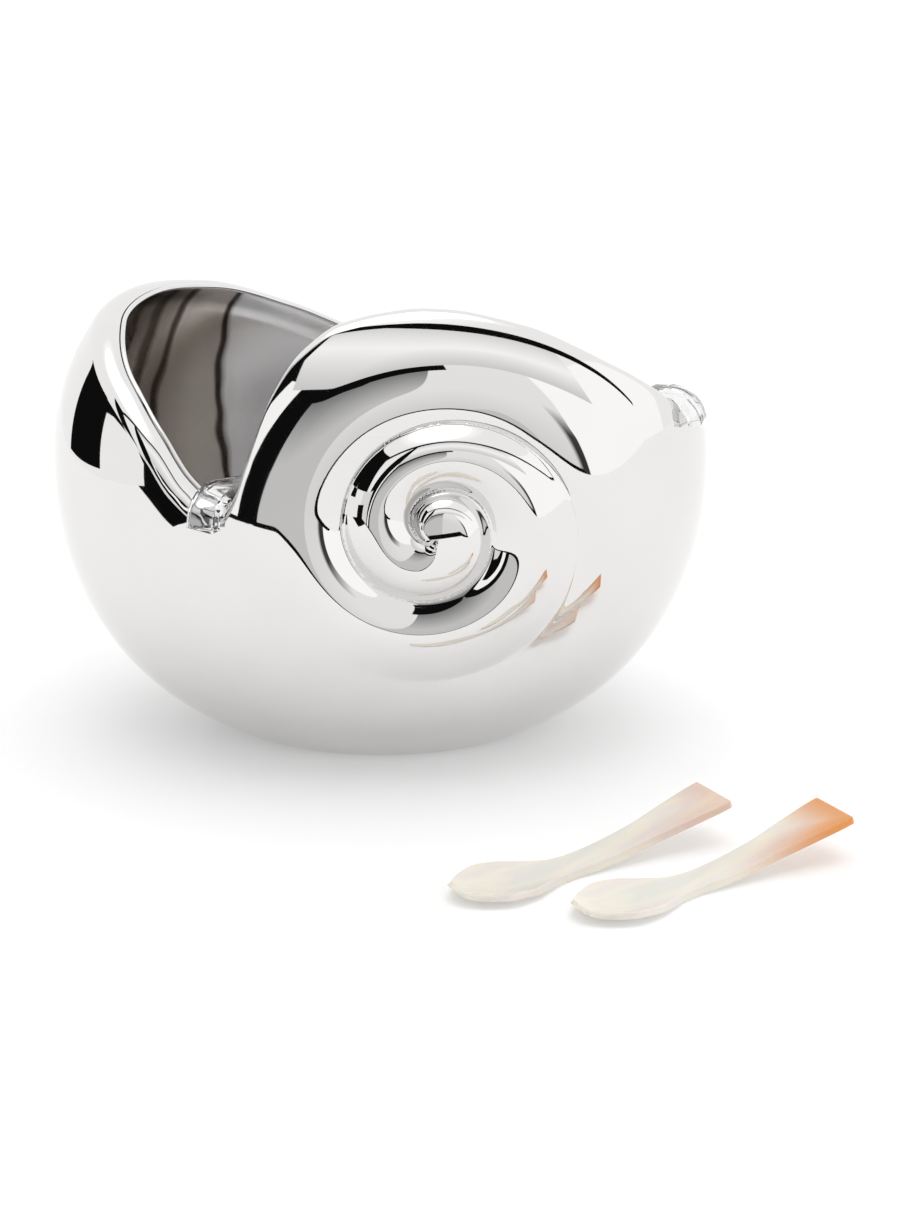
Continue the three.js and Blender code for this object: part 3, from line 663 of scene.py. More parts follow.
@dataclass
class GlassCup:
    """The clear glass cup with its three hooked arms, pressed in one piece."""

    bowl: ShellBowl
    wire: RimWire
    centre: tuple[float, float] = (5 * MM, 3 * MM)
    radius: float = 43 * MM
    rim_height: float = 98 * MM
    depth: float = 41 * MM
    wall: float = 3.6 * MM
    foot_radius: float = 15 * MM
    rim_rounding: float = 1.2 * MM
    arm_width: float = 10.5 * MM
    arm_thickness: float = 4.2 * MM
    # How far a hook reaches down outside the lip, and the space left between it and the bowl.
    hook_drop: float = 7.5 * MM
    seat_gap: float = 0.35 * MM
    # How far an arm runs on level inside the lip, in radii of the wire.
    level_run: float = 3
    # In degrees, the left one and the right one of the photograph and the hidden one behind.
    hook_azimuths: Sequence[float] = (-38.5, 76, 160)
    # Shares of the radius and depth from the foot up.
    outside: Knots = ((0.62, 0.05), (0.8, 0.16), (0.92, 0.34), (0.98, 0.58), (1, 0.82))
    inside: Knots = ((0.3, 0), (0.58, 0.05), (0.78, 0.18), (0.91, 0.38), (0.98, 0.64), (1, 0.9))
    turning_steps: int = 96
    hook_points: int = 8
    bend_steps: int = 12
    # Places tried along an arm to find the cup's inner wall.
    reach_steps: int = 2000
    # The arms' edges that are sharper than an angle in degrees are rounded in a few steps.
    arm_edge: float = 1.1 * MM
    edge_steps: int = 4
    sharpness: float = 60
    # Edges sharper than this, in degrees, stay crisp.
    crispness: float = 35

    def inner_section(self) -> list[tuple[float, float]]:
        """Works out the hollow's wall.

        Returns:
            Its radii and heights, from the middle of its floor up.
        """
        top, radius, depth = self.rim_height, self.radius - self.wall, self.depth - self.wall
        rising = [(radius * out, top - depth * (1 - up)) for out, up in self.inside]
        return [(0.0, top - depth)] + rising

    def cup_section(self) -> list[tuple[float, float]]:
        """Works out the cup's section.

        Returns:
            Its radii and heights, from the foot round the rim to the middle of the floor.
        """
        top, bottom = self.rim_height, self.rim_height - self.depth
        inner_radius, rounding = self.radius - self.wall, self.rim_rounding
        points = [(0.0, bottom), (self.foot_radius, bottom)]
        points += [(self.radius * out, bottom + self.depth * up) for out, up in self.outside]
        points += [(self.radius, top - rounding), (self.radius - rounding, top)]
        points += [(inner_radius + rounding, top), (inner_radius, top - rounding)]
        return points + self.inner_section()[::-1]

    def hollow_section(self) -> list[tuple[float, float]]:
        """Returns the hollow's radii and heights, reaching up past the rim."""
        above = self.rim_height + self.depth
        return self.inner_section() + [(self.radius - self.wall, above), (0.0, above)]

    def turned(self, name: str, section: Knots) -> bpy.types.Object:
        """Spins a section round the cup's axis.

        Args:
            name: the object's name.
            section: radii and heights, from the axis round to the axis.

        Returns:
            The closed solid.
        """
        x, y = self.centre
        points = [(x + out, y, up) for out, up in section]
        solid = mesh_object(name, points, [(i, i + 1) for i in range(len(points) - 1)], [])
        select_only(solid)
        bpy.ops.object.mode_set(mode="EDIT")
        bpy.ops.mesh.select_all(action="SELECT")
        bpy.ops.mesh.spin(
            steps=self.turning_steps, angle=2 * math.pi, center=(x, y, 0), axis=(0, 0, 1)
        )
        bpy.ops.mesh.select_all(action="SELECT")
        bpy.ops.mesh.remove_doubles(threshold=MERGING)
        bpy.ops.mesh.normals_make_consistent(inside=False)
        bpy.ops.object.mode_set(mode="OBJECT")
        return solid

    def arm_line(self, azimuth: float) -> np.ndarray:
        """Finds an arm's middle line: up the wall, over the lip and in to the cup.

        Args:
            azimuth: the arm's azimuth in radians.

        Returns:
            The points along it.
        """
        body, roll = self.bowl.body, self.bowl.mouth.lip_roll
        turn = np.array(azimuth)
        top = self.bowl.rim_elevation(turn)
        scale = body.radius(turn, top)
        half = self.arm_thickness / 2
        away = self.seat_gap + half
        below = np.linspace(self.hook_drop, roll, self.hook_points)
        elevation = top - below / scale
        outside = body.point(turn, elevation, body.radius(turn, elevation) + away)
        bend = np.linspace(0, math.pi / 2, self.bend_steps + 1)[1:]
        elevation = top - (roll - (roll + away + self.wire.radius) * np.sin(bend)) / scale
        radius = body.radius(turn, elevation) - roll + (roll + away) * np.cos(bend)
        over = body.point(turn, elevation, radius)
        out = np.array([math.sin(azimuth), -math.cos(azimuth), 0.0])
        flat = over[-1] - self.level_run * self.wire.radius * out
        places = np.linspace(0, body.half_width, self.reach_steps)[:, None] * out
        inside = np.hypot(places[:, 0] - self.centre[0], places[:, 1] - self.centre[1])
        end = places[np.argmax(inside > self.radius - self.wall)]
        end = np.array([end[0], end[1], self.rim_height - half])
        return np.concatenate([outside, over, flat[None, :], end[None, :]])

    def arm(self, azimuth: float) -> bpy.types.Object:
        """Bends a flat bar of glass along an arm's line, with rounded edges.

        Args:
            azimuth: the arm's azimuth in radians.

        Returns:
            The arm.
        """
        line = self.arm_line(azimuth)
        across = np.array([math.cos(azimuth), math.sin(azimuth), 0.0]) * self.arm_width / 2
        points = np.concatenate([line - across, line + across]).tolist()
        steps = len(line)
        faces = [(i, i + 1, steps + i + 1, steps + i) for i in range(steps - 1)]
        arm = mesh_object("arm", points, [], faces)
        thickness = self.arm_thickness
        apply_modifier(arm, "SOLIDIFY", thickness=thickness, offset=0.0, use_even_offset=True)
        ease_edges(arm, self.arm_edge, self.edge_steps, self.sharpness)
        return arm

    def build(self) -> bpy.types.Object:
        """Fuses the arms to the cup, hollows it, and cuts it clear of the bowl.

        Returns:
            The cup.
        """
        cup = self.turned("glass_cup", self.cup_section())
        hollow = self.turned("hollow", self.hollow_section())
        for azimuth in self.hook_azimuths:
            boolean(cup, self.arm(math.radians(azimuth)), "UNION")
        boolean(cup, hollow, "DIFFERENCE")
        boolean(cup, grown_copy("bowl_shell", self.seat_gap), "DIFFERENCE")
        keep_largest(cup)
        finish_shading(cup, self.crispness)
        return cup


@dataclass
class PearlSpoon:
    """A spoon sawn from a curved shell: a shallow bowl, a neck and a widening handle."""

    name: str
    tip: tuple[float, float]
    # Degrees from +X to the side that the handle points to.
    turn: float = 32.0
    length: float = 96.7 * MM
    # Places along the spoon from its tip, with the sizes there, in millimetres.
    half_widths: Knots = (
        (0, 0.6), (0.8, 3.4), (3, 6.4), (8, 10.0), (15, 12.5), (22, 11.9), (29, 9.1),
        (36, 6.3), (44, 5.3), (55, 5.6), (68, 6.1), (82, 7.8), (96.2, 9.1), (96.7, 8.9),
    )  # fmt: skip
    undersides: Knots = (
        (0, 4.8), (3, 1.8), (8, 0.4), (15, 0), (36, 0), (44, 0.4), (55, 1.9), (68, 4.8),
        (82, 8.6), (97, 12.6),
    )  # fmt: skip
    thicknesses: Knots = ((0, 1.2), (6, 1.8), (22, 2.2), (38, 3.0), (60, 2.8), (97, 2.2))
    dishes: Knots = ((0, 0), (3, 1.2), (8, 2.2), (15, 2.5), (22, 1.9), (29, 1), (38, 0))
    steps_along: int = 120
    steps_across: int = 22
    # How strongly the steps crowd towards both ends, from 0 to 1.
    crowding: float = 0.25
    # Edges that are sharper than an angle in degrees are rounded in a few steps.
    edge: float = 0.35 * MM
    edge_steps: int = 3
    sharpness: float = 50
    # Edges sharper than this, in degrees, stay crisp.
    crispness: float = 60

    def build(self) -> bpy.types.Object:
        """Shapes a flat sheet into the spoon, gives it its thickness and eases its edges.

        Returns:
            The spoon.
        """
        bpy.ops.object.select_all(action="DESELECT")
        # The sheet runs from -1 to 1 both ways.
        bpy.ops.mesh.primitive_grid_add(
            x_subdivisions=self.steps_along, y_subdivisions=self.steps_across, size=2.0
        )
        spoon = bpy.context.object
        spoon.name = self.name
        places = np.array([vertex.co for vertex in spoon.data.vertices])
        even = (places[:, 0] + 1) / 2
        crowded = (1 - np.cos(math.pi * even)) / 2
        along = self.length / MM * ((1 - self.crowding) * even + self.crowding * crowded)
        across = places[:, 1]
        width = SmoothCurve(self.half_widths)(along)
        thickness = SmoothCurve(self.thicknesses)(along)
        dish = SmoothCurve(self.dishes)(along) * across**2
        height = SmoothCurve(self.undersides)(along) + dish + thickness / 2
        turn = math.radians(self.turn)
        local = np.stack([along, width * across, height], -1) * MM
        x = self.tip[0] + local[:, 0] * math.cos(turn) - local[:, 1] * math.sin(turn)
        y = self.tip[1] + local[:, 0] * math.sin(turn) + local[:, 1] * math.cos(turn)
        for vertex, place in zip(spoon.data.vertices, np.stack([x, y, local[:, 2]], -1)):
            vertex.co = place
        full = max(value for _, value in self.thicknesses)
        group = spoon.vertex_groups.new(name="thickness")
        for index, value in enumerate(thickness / full):
            group.add([index], float(value), "REPLACE")
        apply_modifier(
            spoon, "SOLIDIFY", thickness=full * MM, offset=0.0, vertex_group="thickness",
            use_even_offset=False,
        )  # fmt: skip
        ease_edges(spoon, self.edge, self.edge_steps, self.sharpness)
        finish_shading(spoon, self.crispness)
        return spoon


# Modelling helpers


def linked(name: str, data: bpy.types.ID) -> bpy.types.Object:
    """Puts an object in the scene.

    Args:
        name: its name.
        data: the mesh, curve or camera that it holds.

    Returns:
        The object.
    """
    made = bpy.data.objects.new(name, data)
    bpy.context.scene.collection.objects.link(made)
    return made


def mesh_object(name: str, points: Sequence, edges: Sequence, faces: Sequence) -> bpy.types.Object:
    """Puts a new mesh in the scene.

    Args:
        name: the name of the object and its mesh.
        points: the places of its points.
        edges: pairs of point numbers, for a mesh without faces.
        faces: the point numbers round each face.

    Returns:
        The object.
    """
    mesh = bpy.data.meshes.new(name)
    mesh.from_pydata(points, edges, faces)
    return linked(name, mesh)


def select_only(piece: bpy.types.Object) -> None:
    """Selects one object and makes it active.

    Args:
        piece: the object.
    """
    bpy.ops.object.select_all(action="DESELECT")
    piece.select_set(True)
    bpy.context.view_layer.objects.active = piece


def apply_modifier(piece: bpy.types.Object, kind: str, **settings: object) -> None:
    """Adds a modifier and applies it.

    Args:
        piece: the object.
        kind: the modifier's type name.
        settings: properties of the modifier.
    """
    select_only(piece)
    modifier = piece.modifiers.new(kind.lower(), kind)
    for name, value in settings.items():
        setattr(modifier, name, value)
    bpy.ops.object.modifier_apply(modifier=modifier.name)


def ease_edges(piece: bpy.types.Object, width: float, steps: int, sharp_angle: float) -> None:
    """Rounds a piece's sharper edges.

    Args:
        piece: the object.
        width: the width of the rounding.
        steps: the number of faces across it.
        sharp_angle: only edges sharper than this angle in degrees are rounded.
    """
    limit = math.radians(sharp_angle)
    apply_modifier(
        piece, "BEVEL", width=width, segments=steps, limit_method="ANGLE", angle_limit=limit
    )


def boolean(piece: bpy.types.Object, tool: bpy.types.Object, operation: str) -> None:
    """Joins or cuts a piece with a tool, which is used up."""
    apply_modifier(piece, "BOOLEAN", object=tool, operation=operation, solver="EXACT")
    bpy.data.objects.remove(tool)


def grown_copy(node: str, by: float) -> bpy.types.Object:
    """Copies a CAD node, larger by a clearance all over.

    Args:
        node: the node's name.
        by: the clearance.

    Returns:
        The copy, merged into one closed mesh.
    """
    copy = linked(f"{node}_clearance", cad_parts[node].data.copy())
    select_only(copy)
    bpy.ops.object.mode_set(mode="EDIT")
    bpy.ops.mesh.select_all(action="SELECT")
    bpy.ops.mesh.remove_doubles(threshold=CAD_MERGING)
    bpy.ops.object.mode_set(mode="OBJECT")
    apply_modifier(copy, "DISPLACE", strength=by, mid_level=0.0)
    return copy


def keep_largest(piece: bpy.types.Object) -> None:
    """Deletes loose splinters, keeping the largest connected part.

    Args:
        piece: the object.
    """
    select_only(piece)
    bpy.ops.object.mode_set(mode="EDIT")
    bpy.ops.mesh.select_all(action="SELECT")
    bpy.ops.mesh.separate(type="LOOSE")
    bpy.ops.object.mode_set(mode="OBJECT")
    parts = sorted(bpy.context.selected_objects, key=lambda part: -len(part.data.vertices))
    piece.data = parts[0].data.copy()
    for part in parts:
        if part is not piece:
            bpy.data.objects.remove(part)


def finish_shading(piece: bpy.types.Object, sharp_angle: float) -> None:
    """Shades a piece smooth but for edges sharper than an angle in degrees."""
    select_only(piece)
    bpy.ops.object.shade_smooth_by_angle(angle=math.radians(sharp_angle))


# Finishes
#
# Sockets go by number where their names repeat. A Mix node takes its share at 0 and its colours
# at 6 and 7, or its numbers at 2 and 3. A Map Range node takes its value at 0 and turns the
# span from 1 to 2 into that from 3 to 4.


def linear(hex_colour: str) -> tuple[float, float, float, float]:
    """Turns a colour linear, by the sRGB standard's curve.

    Args:
        hex_colour: the sRGB colour, as # and six hex digits.

    Returns:
        Linear red, green, blue and an alpha of 1.
    """
    knee, slope, offset, power = 0.04045, 12.92, 0.055, 2.4
    channels = [int(hex_colour[i : i + 2], 16) / 255 for i in (1, 3, 5)]
    turned = [c / slope if c <= knee else ((c + offset) / (1 + offset)) ** power for c in channels]
    return (*turned, 1.0)


def add_node(
    tree: bpy.types.NodeTree,
    kind: str,
    inputs: dict[str | int, object] | None = None,
    stops: Sequence[tuple[float, str]] = (),
    **settings: object,
) -> bpy.types.Node:
    """Adds a shader node.

    Args:
        tree: the node tree.
        kind: the node's type name.
        inputs: values for its sockets, or other nodes' output sockets to link to them.
        stops: places and sRGB hex colours along its colour ramp, in order.
        settings: properties of the node.

    Returns:
        The node.
    """
    node = tree.nodes.new(kind)
    for name, value in settings.items():
        setattr(node, name, value)
    for name, value in (inputs or {}).items():
        if isinstance(value, bpy.types.NodeSocket):
            tree.links.new(value, node.inputs[name])
        else:
            node.inputs[name].default_value = value
    if stops:
        elements = node.color_ramp.elements
        elements.remove(elements[1])
        for index, (position, colour) in enumerate(stops):
            element = elements[0] if index == 0 else elements.new(position)
            element.position = position
            element.color = linear(colour)
    return node


def new_material(
    name: str, values: dict[str, object]
) -> tuple[bpy.types.Material, bpy.types.NodeTree, bpy.types.Node]:
    """Starts a material.

    Args:
        name: the material's name.
        values: what is the same all over the surface, by the shader's sockets.

    Returns:
        The material, its node tree and its Principled shader.
    """
    material = bpy.data.materials.new(name)
    material.use_nodes = True
    tree = material.node_tree
    shader = tree.nodes["Principled BSDF"]
    for socket, value in values.items():
        shader.inputs[socket].default_value = value
    return material, tree, shader


@dataclass(frozen=True)
class PolishedSilver:
    """Silver plate: mirror outside with faint wiping haze, satin inside with painted reflections.

    The outside gives the eye the room, near black and near white with crisp edges. The inside's
    colour is painted reflection and shade: soft brown-grey, darkest towards the sides, with dark
    upright bands of painted reflection.
    """

    name: str = "polished_silver_plate"
    colour: str = "#e5e4e3"
    haze_colour: str = "#dfdedd"
    roughness: float = 0.012
    haze_roughness: float = 0.035
    # A stroke of the polishing cloth. Its own hairlines are too fine to show.
    haze_size: float = 28.6 * MM
    # Values of the noise from which the haze sets in and is full.
    haze_range: tuple[float, float] = (0.35, 0.75)
    inside_roughness: float = 0.24
    # Angle in degrees from the back of the bowl, and the colour there. These colours are painted
    # reflections and shade: light at the back and front, brown-grey and dark bands towards the
    # sides.
    painted_reflection_bands: Sequence[tuple[float, str]] = (
        (0, "#f6f6f7"), (36, "#f4f4f5"), (39.2, "#e9e8e8"), (39.7, "#3b332d"), (41, "#4a413b"),
        (41.4, "#c0b8b1"), (47, "#cdc6bf"), (53.6, "#c8c0b9"), (54.4, "#4c423b"),
        (55.8, "#5c524b"), (56.3, "#aba29a"), (59.4, "#a1988f"), (60.1, "#51483f"),
        (62.2, "#5f564e"), (63, "#968d84"), (65.4, "#857c73"), (66.2, "#4c433b"),
        (68, "#7a7168"), (76, "#8a8178"), (92, "#dcdad8"), (180, "#f4f3f3"),
    )  # fmt: skip
    # How far in degrees the painted reflection bands stray from upright, and the length of a bend.
    streak_wander: float = 6.0
    wander_size: float = 45.5 * MM

    def make(self) -> bpy.types.Material:
        """Mixes the mirror outside with the satin inside, whose colour holds painted reflections
        and shade.

        Returns:
            The material.
        """
        material, tree, shader = new_material(self.name, {"Metallic": 1.0})
        place = add_node(tree, "ShaderNodeTexCoord").outputs["Object"]
        scale = 1 / self.haze_size
        haze = add_node(tree, "ShaderNodeTexNoise", {"Vector": place, "Scale": scale}).outputs[0]
        start, full = self.haze_range
        rough = add_node(
            tree,
            "ShaderNodeMapRange",
            {0: haze, 1: start, 2: full, 3: self.roughness, 4: self.haze_roughness},
        )
        tints = {0: haze, 6: linear(self.colour), 7: linear(self.haze_colour)}
        tint = add_node(tree, "ShaderNodeMix", tints, data_type="RGBA").outputs[2]
        mask = add_node(tree, "ShaderNodeAttribute", attribute_name=INSIDE_MASK).outputs["Fac"]
        # The inside takes painted reflections and shade in place of the mirror's tint.
        colours = {0: mask, 6: tint, 7: self.painted_inside_reflections(tree, place)}
        colour = add_node(tree, "ShaderNodeMix", colours, data_type="RGBA")
        shares = {0: mask, 2: rough.outputs[0], 3: self.inside_roughness}
        roughness = add_node(tree, "ShaderNodeMix", shares, data_type="FLOAT")
        tree.links.new(colour.outputs[2], shader.inputs["Base Color"])
        tree.links.new(roughness.outputs[0], shader.inputs["Roughness"])
        return material

    def painted_inside_reflections(
        self, tree: bpy.types.NodeTree, place: bpy.types.NodeSocket
    ) -> bpy.types.NodeSocket:
        """Paints reflections and shade as upright bands, alike on both sides of the back.

        Args:
            tree: the material's node tree.
            place: the place on the bowl.

        Returns:
            The inside's colour.
        """
        parts = add_node(tree, "ShaderNodeSeparateXYZ", {0: place}).outputs
        angle = add_node(
            tree, "ShaderNodeMath", {0: parts[0], 1: parts[1]}, operation="ARCTAN2"
        )
        side = add_node(tree, "ShaderNodeMath", {0: angle.outputs[0]}, operation="ABSOLUTE")
        noise = {"Vector": place, "Scale": 1 / self.wander_size}
        wander = add_node(tree, "ShaderNodeTexNoise", noise)
        most = math.radians(self.streak_wander)
        sway = add_node(tree, "ShaderNodeMapRange", {0: wander.outputs[0], 3: -most, 4: most})
        swayed = add_node(
            tree, "ShaderNodeMath", {0: side.outputs[0], 1: sway.outputs[0]}, operation="ADD"
        )
        share = add_node(tree, "ShaderNodeMapRange", {0: swayed.outputs[0], 2: math.pi})
        # The ramp's bands and brown-grey sides are painted reflections and shade, not the metal's
        # own colour.
        stops = [(degrees / 180, colour) for degrees, colour in self.painted_reflection_bands]
        return add_node(tree, "ShaderNodeValToRGB", {0: share.outputs[0]}, stops).outputs[0]


@dataclass(frozen=True)
class PressedGlass:
    """Clear soda-lime glass, pressed and then fire-polished.

    It gives the eye bright and dark edges round a body with hardly any grey, and slight waves
    where the mould was.
    """

    name: str = "clear_pressed_glass"
    colour: str = "#f0f0f0"
    ior: float = 1.52
    roughness: float = 0.01
    # Length, height and share of the waves.
    wave_size: float = 16.7 * MM
    wave_height: float = 1 * MM
    wave_share: float = 0.04

    def make(self) -> bpy.types.Material:
        """Gives clear glass its waves.

        Returns:
            The material.
        """
        constants = {
            "Base Color": linear(self.colour),
            "Transmission Weight": 1.0,
            "Roughness": self.roughness,
            "IOR": self.ior,
        }
        material, tree, shader = new_material(self.name, constants)
        place = add_node(tree, "ShaderNodeTexCoord").outputs["Object"]
        noise = {"Vector": place, "Scale": 1 / self.wave_size}
        waves = add_node(tree, "ShaderNodeTexNoise", noise).outputs[0]
        relief = {"Height": waves, "Strength": self.wave_share, "Distance": self.wave_height}
        bump = add_node(tree, "ShaderNodeBump", relief)
        tree.links.new(bump.outputs[0], shader.inputs["Normal"])
        return material


@dataclass(frozen=True)
class MotherOfPearl:
    """Sawn and polished mother-of-pearl: cream nacre, tan where it nears the shell's skin.

    Its layers give the eye soft clouds of grey and lilac, drawn out along the spoon, and light
    that goes a little way in under a clear polish.
    """

    name: str
    tip: tuple[float, float]
    turn: float
    tan_strength: float
    # Value of the cloud noise and the colour there: grey, cream and lilac.
    clouds: Sequence[tuple[float, str]] = ((0.3, "#d9dad8"), (0.5, "#ebe6d7"), (0.72, "#ded9da"))
    # Length of a cloud along the spoon, across it and through it.
    cloud_sizes: Sequence[float] = (55.6 * MM, 11.1 * MM, 16.7 * MM)
    cloud_detail: float = 4.0
    cloud_distortion: float = 0.6
    tan: str = "#dc9038"
    # Where the tan sets in and is full: along the spoon, from its far edge to its near one,
    # and at the handle's end.
    tan_along: tuple[float, float] = (50 * MM, 92 * MM)
    tan_across: tuple[float, float] = (6 * MM, -8 * MM)
    tan_end: tuple[float, float] = (76 * MM, 98 * MM)
    roughness: float = 0.22
    ior: float = 1.6
    polish: float = 0.4
    polish_roughness: float = 0.08
    # How much light goes in, and how deep.
    glow_share: float = 0.25
    glow_depth: float = 3 * MM

    def make(self) -> bpy.types.Material:
        """Lays the tan over the clouds.

        Returns:
            The material.
        """
        constants = {
            "Roughness": self.roughness,
            "IOR": self.ior,
            "Coat Weight": self.polish,
            "Coat Roughness": self.polish_roughness,
            "Subsurface Weight": self.glow_share,
            "Subsurface Scale": self.glow_depth,
        }
        material, tree, shader = new_material(self.name, constants)
        place = {
            "Vector": add_node(tree, "ShaderNodeTexCoord").outputs["Object"],
            "Location": (*self.tip, 0.0),
            "Rotation": (0.0, 0.0, math.radians(self.turn)),
        }
        turned = add_node(tree, "ShaderNodeMapping", place, vector_type="TEXTURE").outputs[0]
        scales = {"Vector": turned, "Scale": [1 / size for size in self.cloud_sizes]}
        noise = {
            "Vector": add_node(tree, "ShaderNodeMapping", scales).outputs[0],
            "Scale": 1.0,
            "Detail": self.cloud_detail,
            "Distortion": self.cloud_distortion,
        }
        cloud = add_node(tree, "ShaderNodeTexNoise", noise).outputs[0]
        nacre = add_node(tree, "ShaderNodeValToRGB", {0: cloud}, self.clouds).outputs[0]
        parts = add_node(tree, "ShaderNodeSeparateXYZ", {0: turned}).outputs
        spans = ((parts[0], self.tan_along), (parts[1], self.tan_across), (parts[0], self.tan_end))
        fades = []
        for part, (start, full) in spans:
            span = {0: part, 1: start, 2: full, 3: 0.0, 4: 1.0}
            rise = add_node(tree, "ShaderNodeMapRange", span, interpolation_type="SMOOTHSTEP")
            fades.append(rise.outputs[0])
        along, near, end = fades
        low = add_node(tree, "ShaderNodeMath", {0: along, 1: near}, operation="MULTIPLY")
        either = {0: low.outputs[0], 1: end}
        tanned = add_node(tree, "ShaderNodeMath", either, operation="MAXIMUM")
        strength = {0: tanned.outputs[0], 1: self.tan_strength}
        amount = add_node(tree, "ShaderNodeMath", strength, operation="MULTIPLY")
        colours = {0: amount.outputs[0], 6: nacre, 7: linear(self.tan)}
        colour = add_node(tree, "ShaderNodeMix", colours, data_type="RGBA")
        tree.links.new(colour.outputs[2], shader.inputs["Base Color"])
        return material


# Studio

WHITE_LIGHT = "#ffffff"
FLAG_CLOTH = "#0d0d0d"
# The greys of a card at its bottom, middle and top.
BLACK = (FLAG_CLOTH,) * 3
WHITE = ("#f7f7f7",) * 3
# The table's left and front ends, just outside the picture, and its far ones.
TABLE_LEFT, TABLE_FRONT = -0.5, -0.34
TABLE_FAR = 4.0


@dataclass(frozen=True)
class Sheet:
    """A plain matt rectangle: the table top, its edging or a flag over it."""

    name: str
    finish: str
    colour: str
    # Left and right ends, front and back ends, and height over the table.
    across: tuple[float, float]
    deep: tuple[float, float]
    height: float = 0.0
    # Light that comes through from below.
    glow: float = 0.0
    roughness: float = 0.9
    # Whether it shows in reflections alone and throws no shadow.
    only_mirrored: bool = False

    def lay(self) -> None:
        """Lays it in the scene."""
        corners = [(x, y, self.height) for y in self.deep for x in self.across]
        sheet = mesh_object(self.name, corners, [], [(0, 1, 3, 2)])
        if self.only_mirrored:
            sheet.visible_camera = False
            sheet.visible_diffuse = False
            sheet.visible_shadow = False
        constants = {
            "Base Color": linear(self.colour),
            "Roughness": self.roughness,
            "Specular IOR Level": 0.0,
            "Emission Color": linear(WHITE_LIGHT),
            "Emission Strength": self.glow,
        }
        sheet.data.materials.append(new_material(self.finish, constants)[0])


@dataclass(frozen=True)
class Card:
    """A softbox, a wall or a black flag far off round the dish.

    The angles are in degrees, as the dish sees them. The card's azimuth runs from the camera's
    side round to the right. Its sides are measured from that azimuth, its heights from the level.
    """

    azimuth: float
    sides: tuple[float, float]
    heights: tuple[float, float]
    # Greys at the bottom, the middle and the top.
    greys: Sequence[str]
    lean: float = 0.0
    # Share of the card's half size over which its edge fades.
    softness: float = 0.004


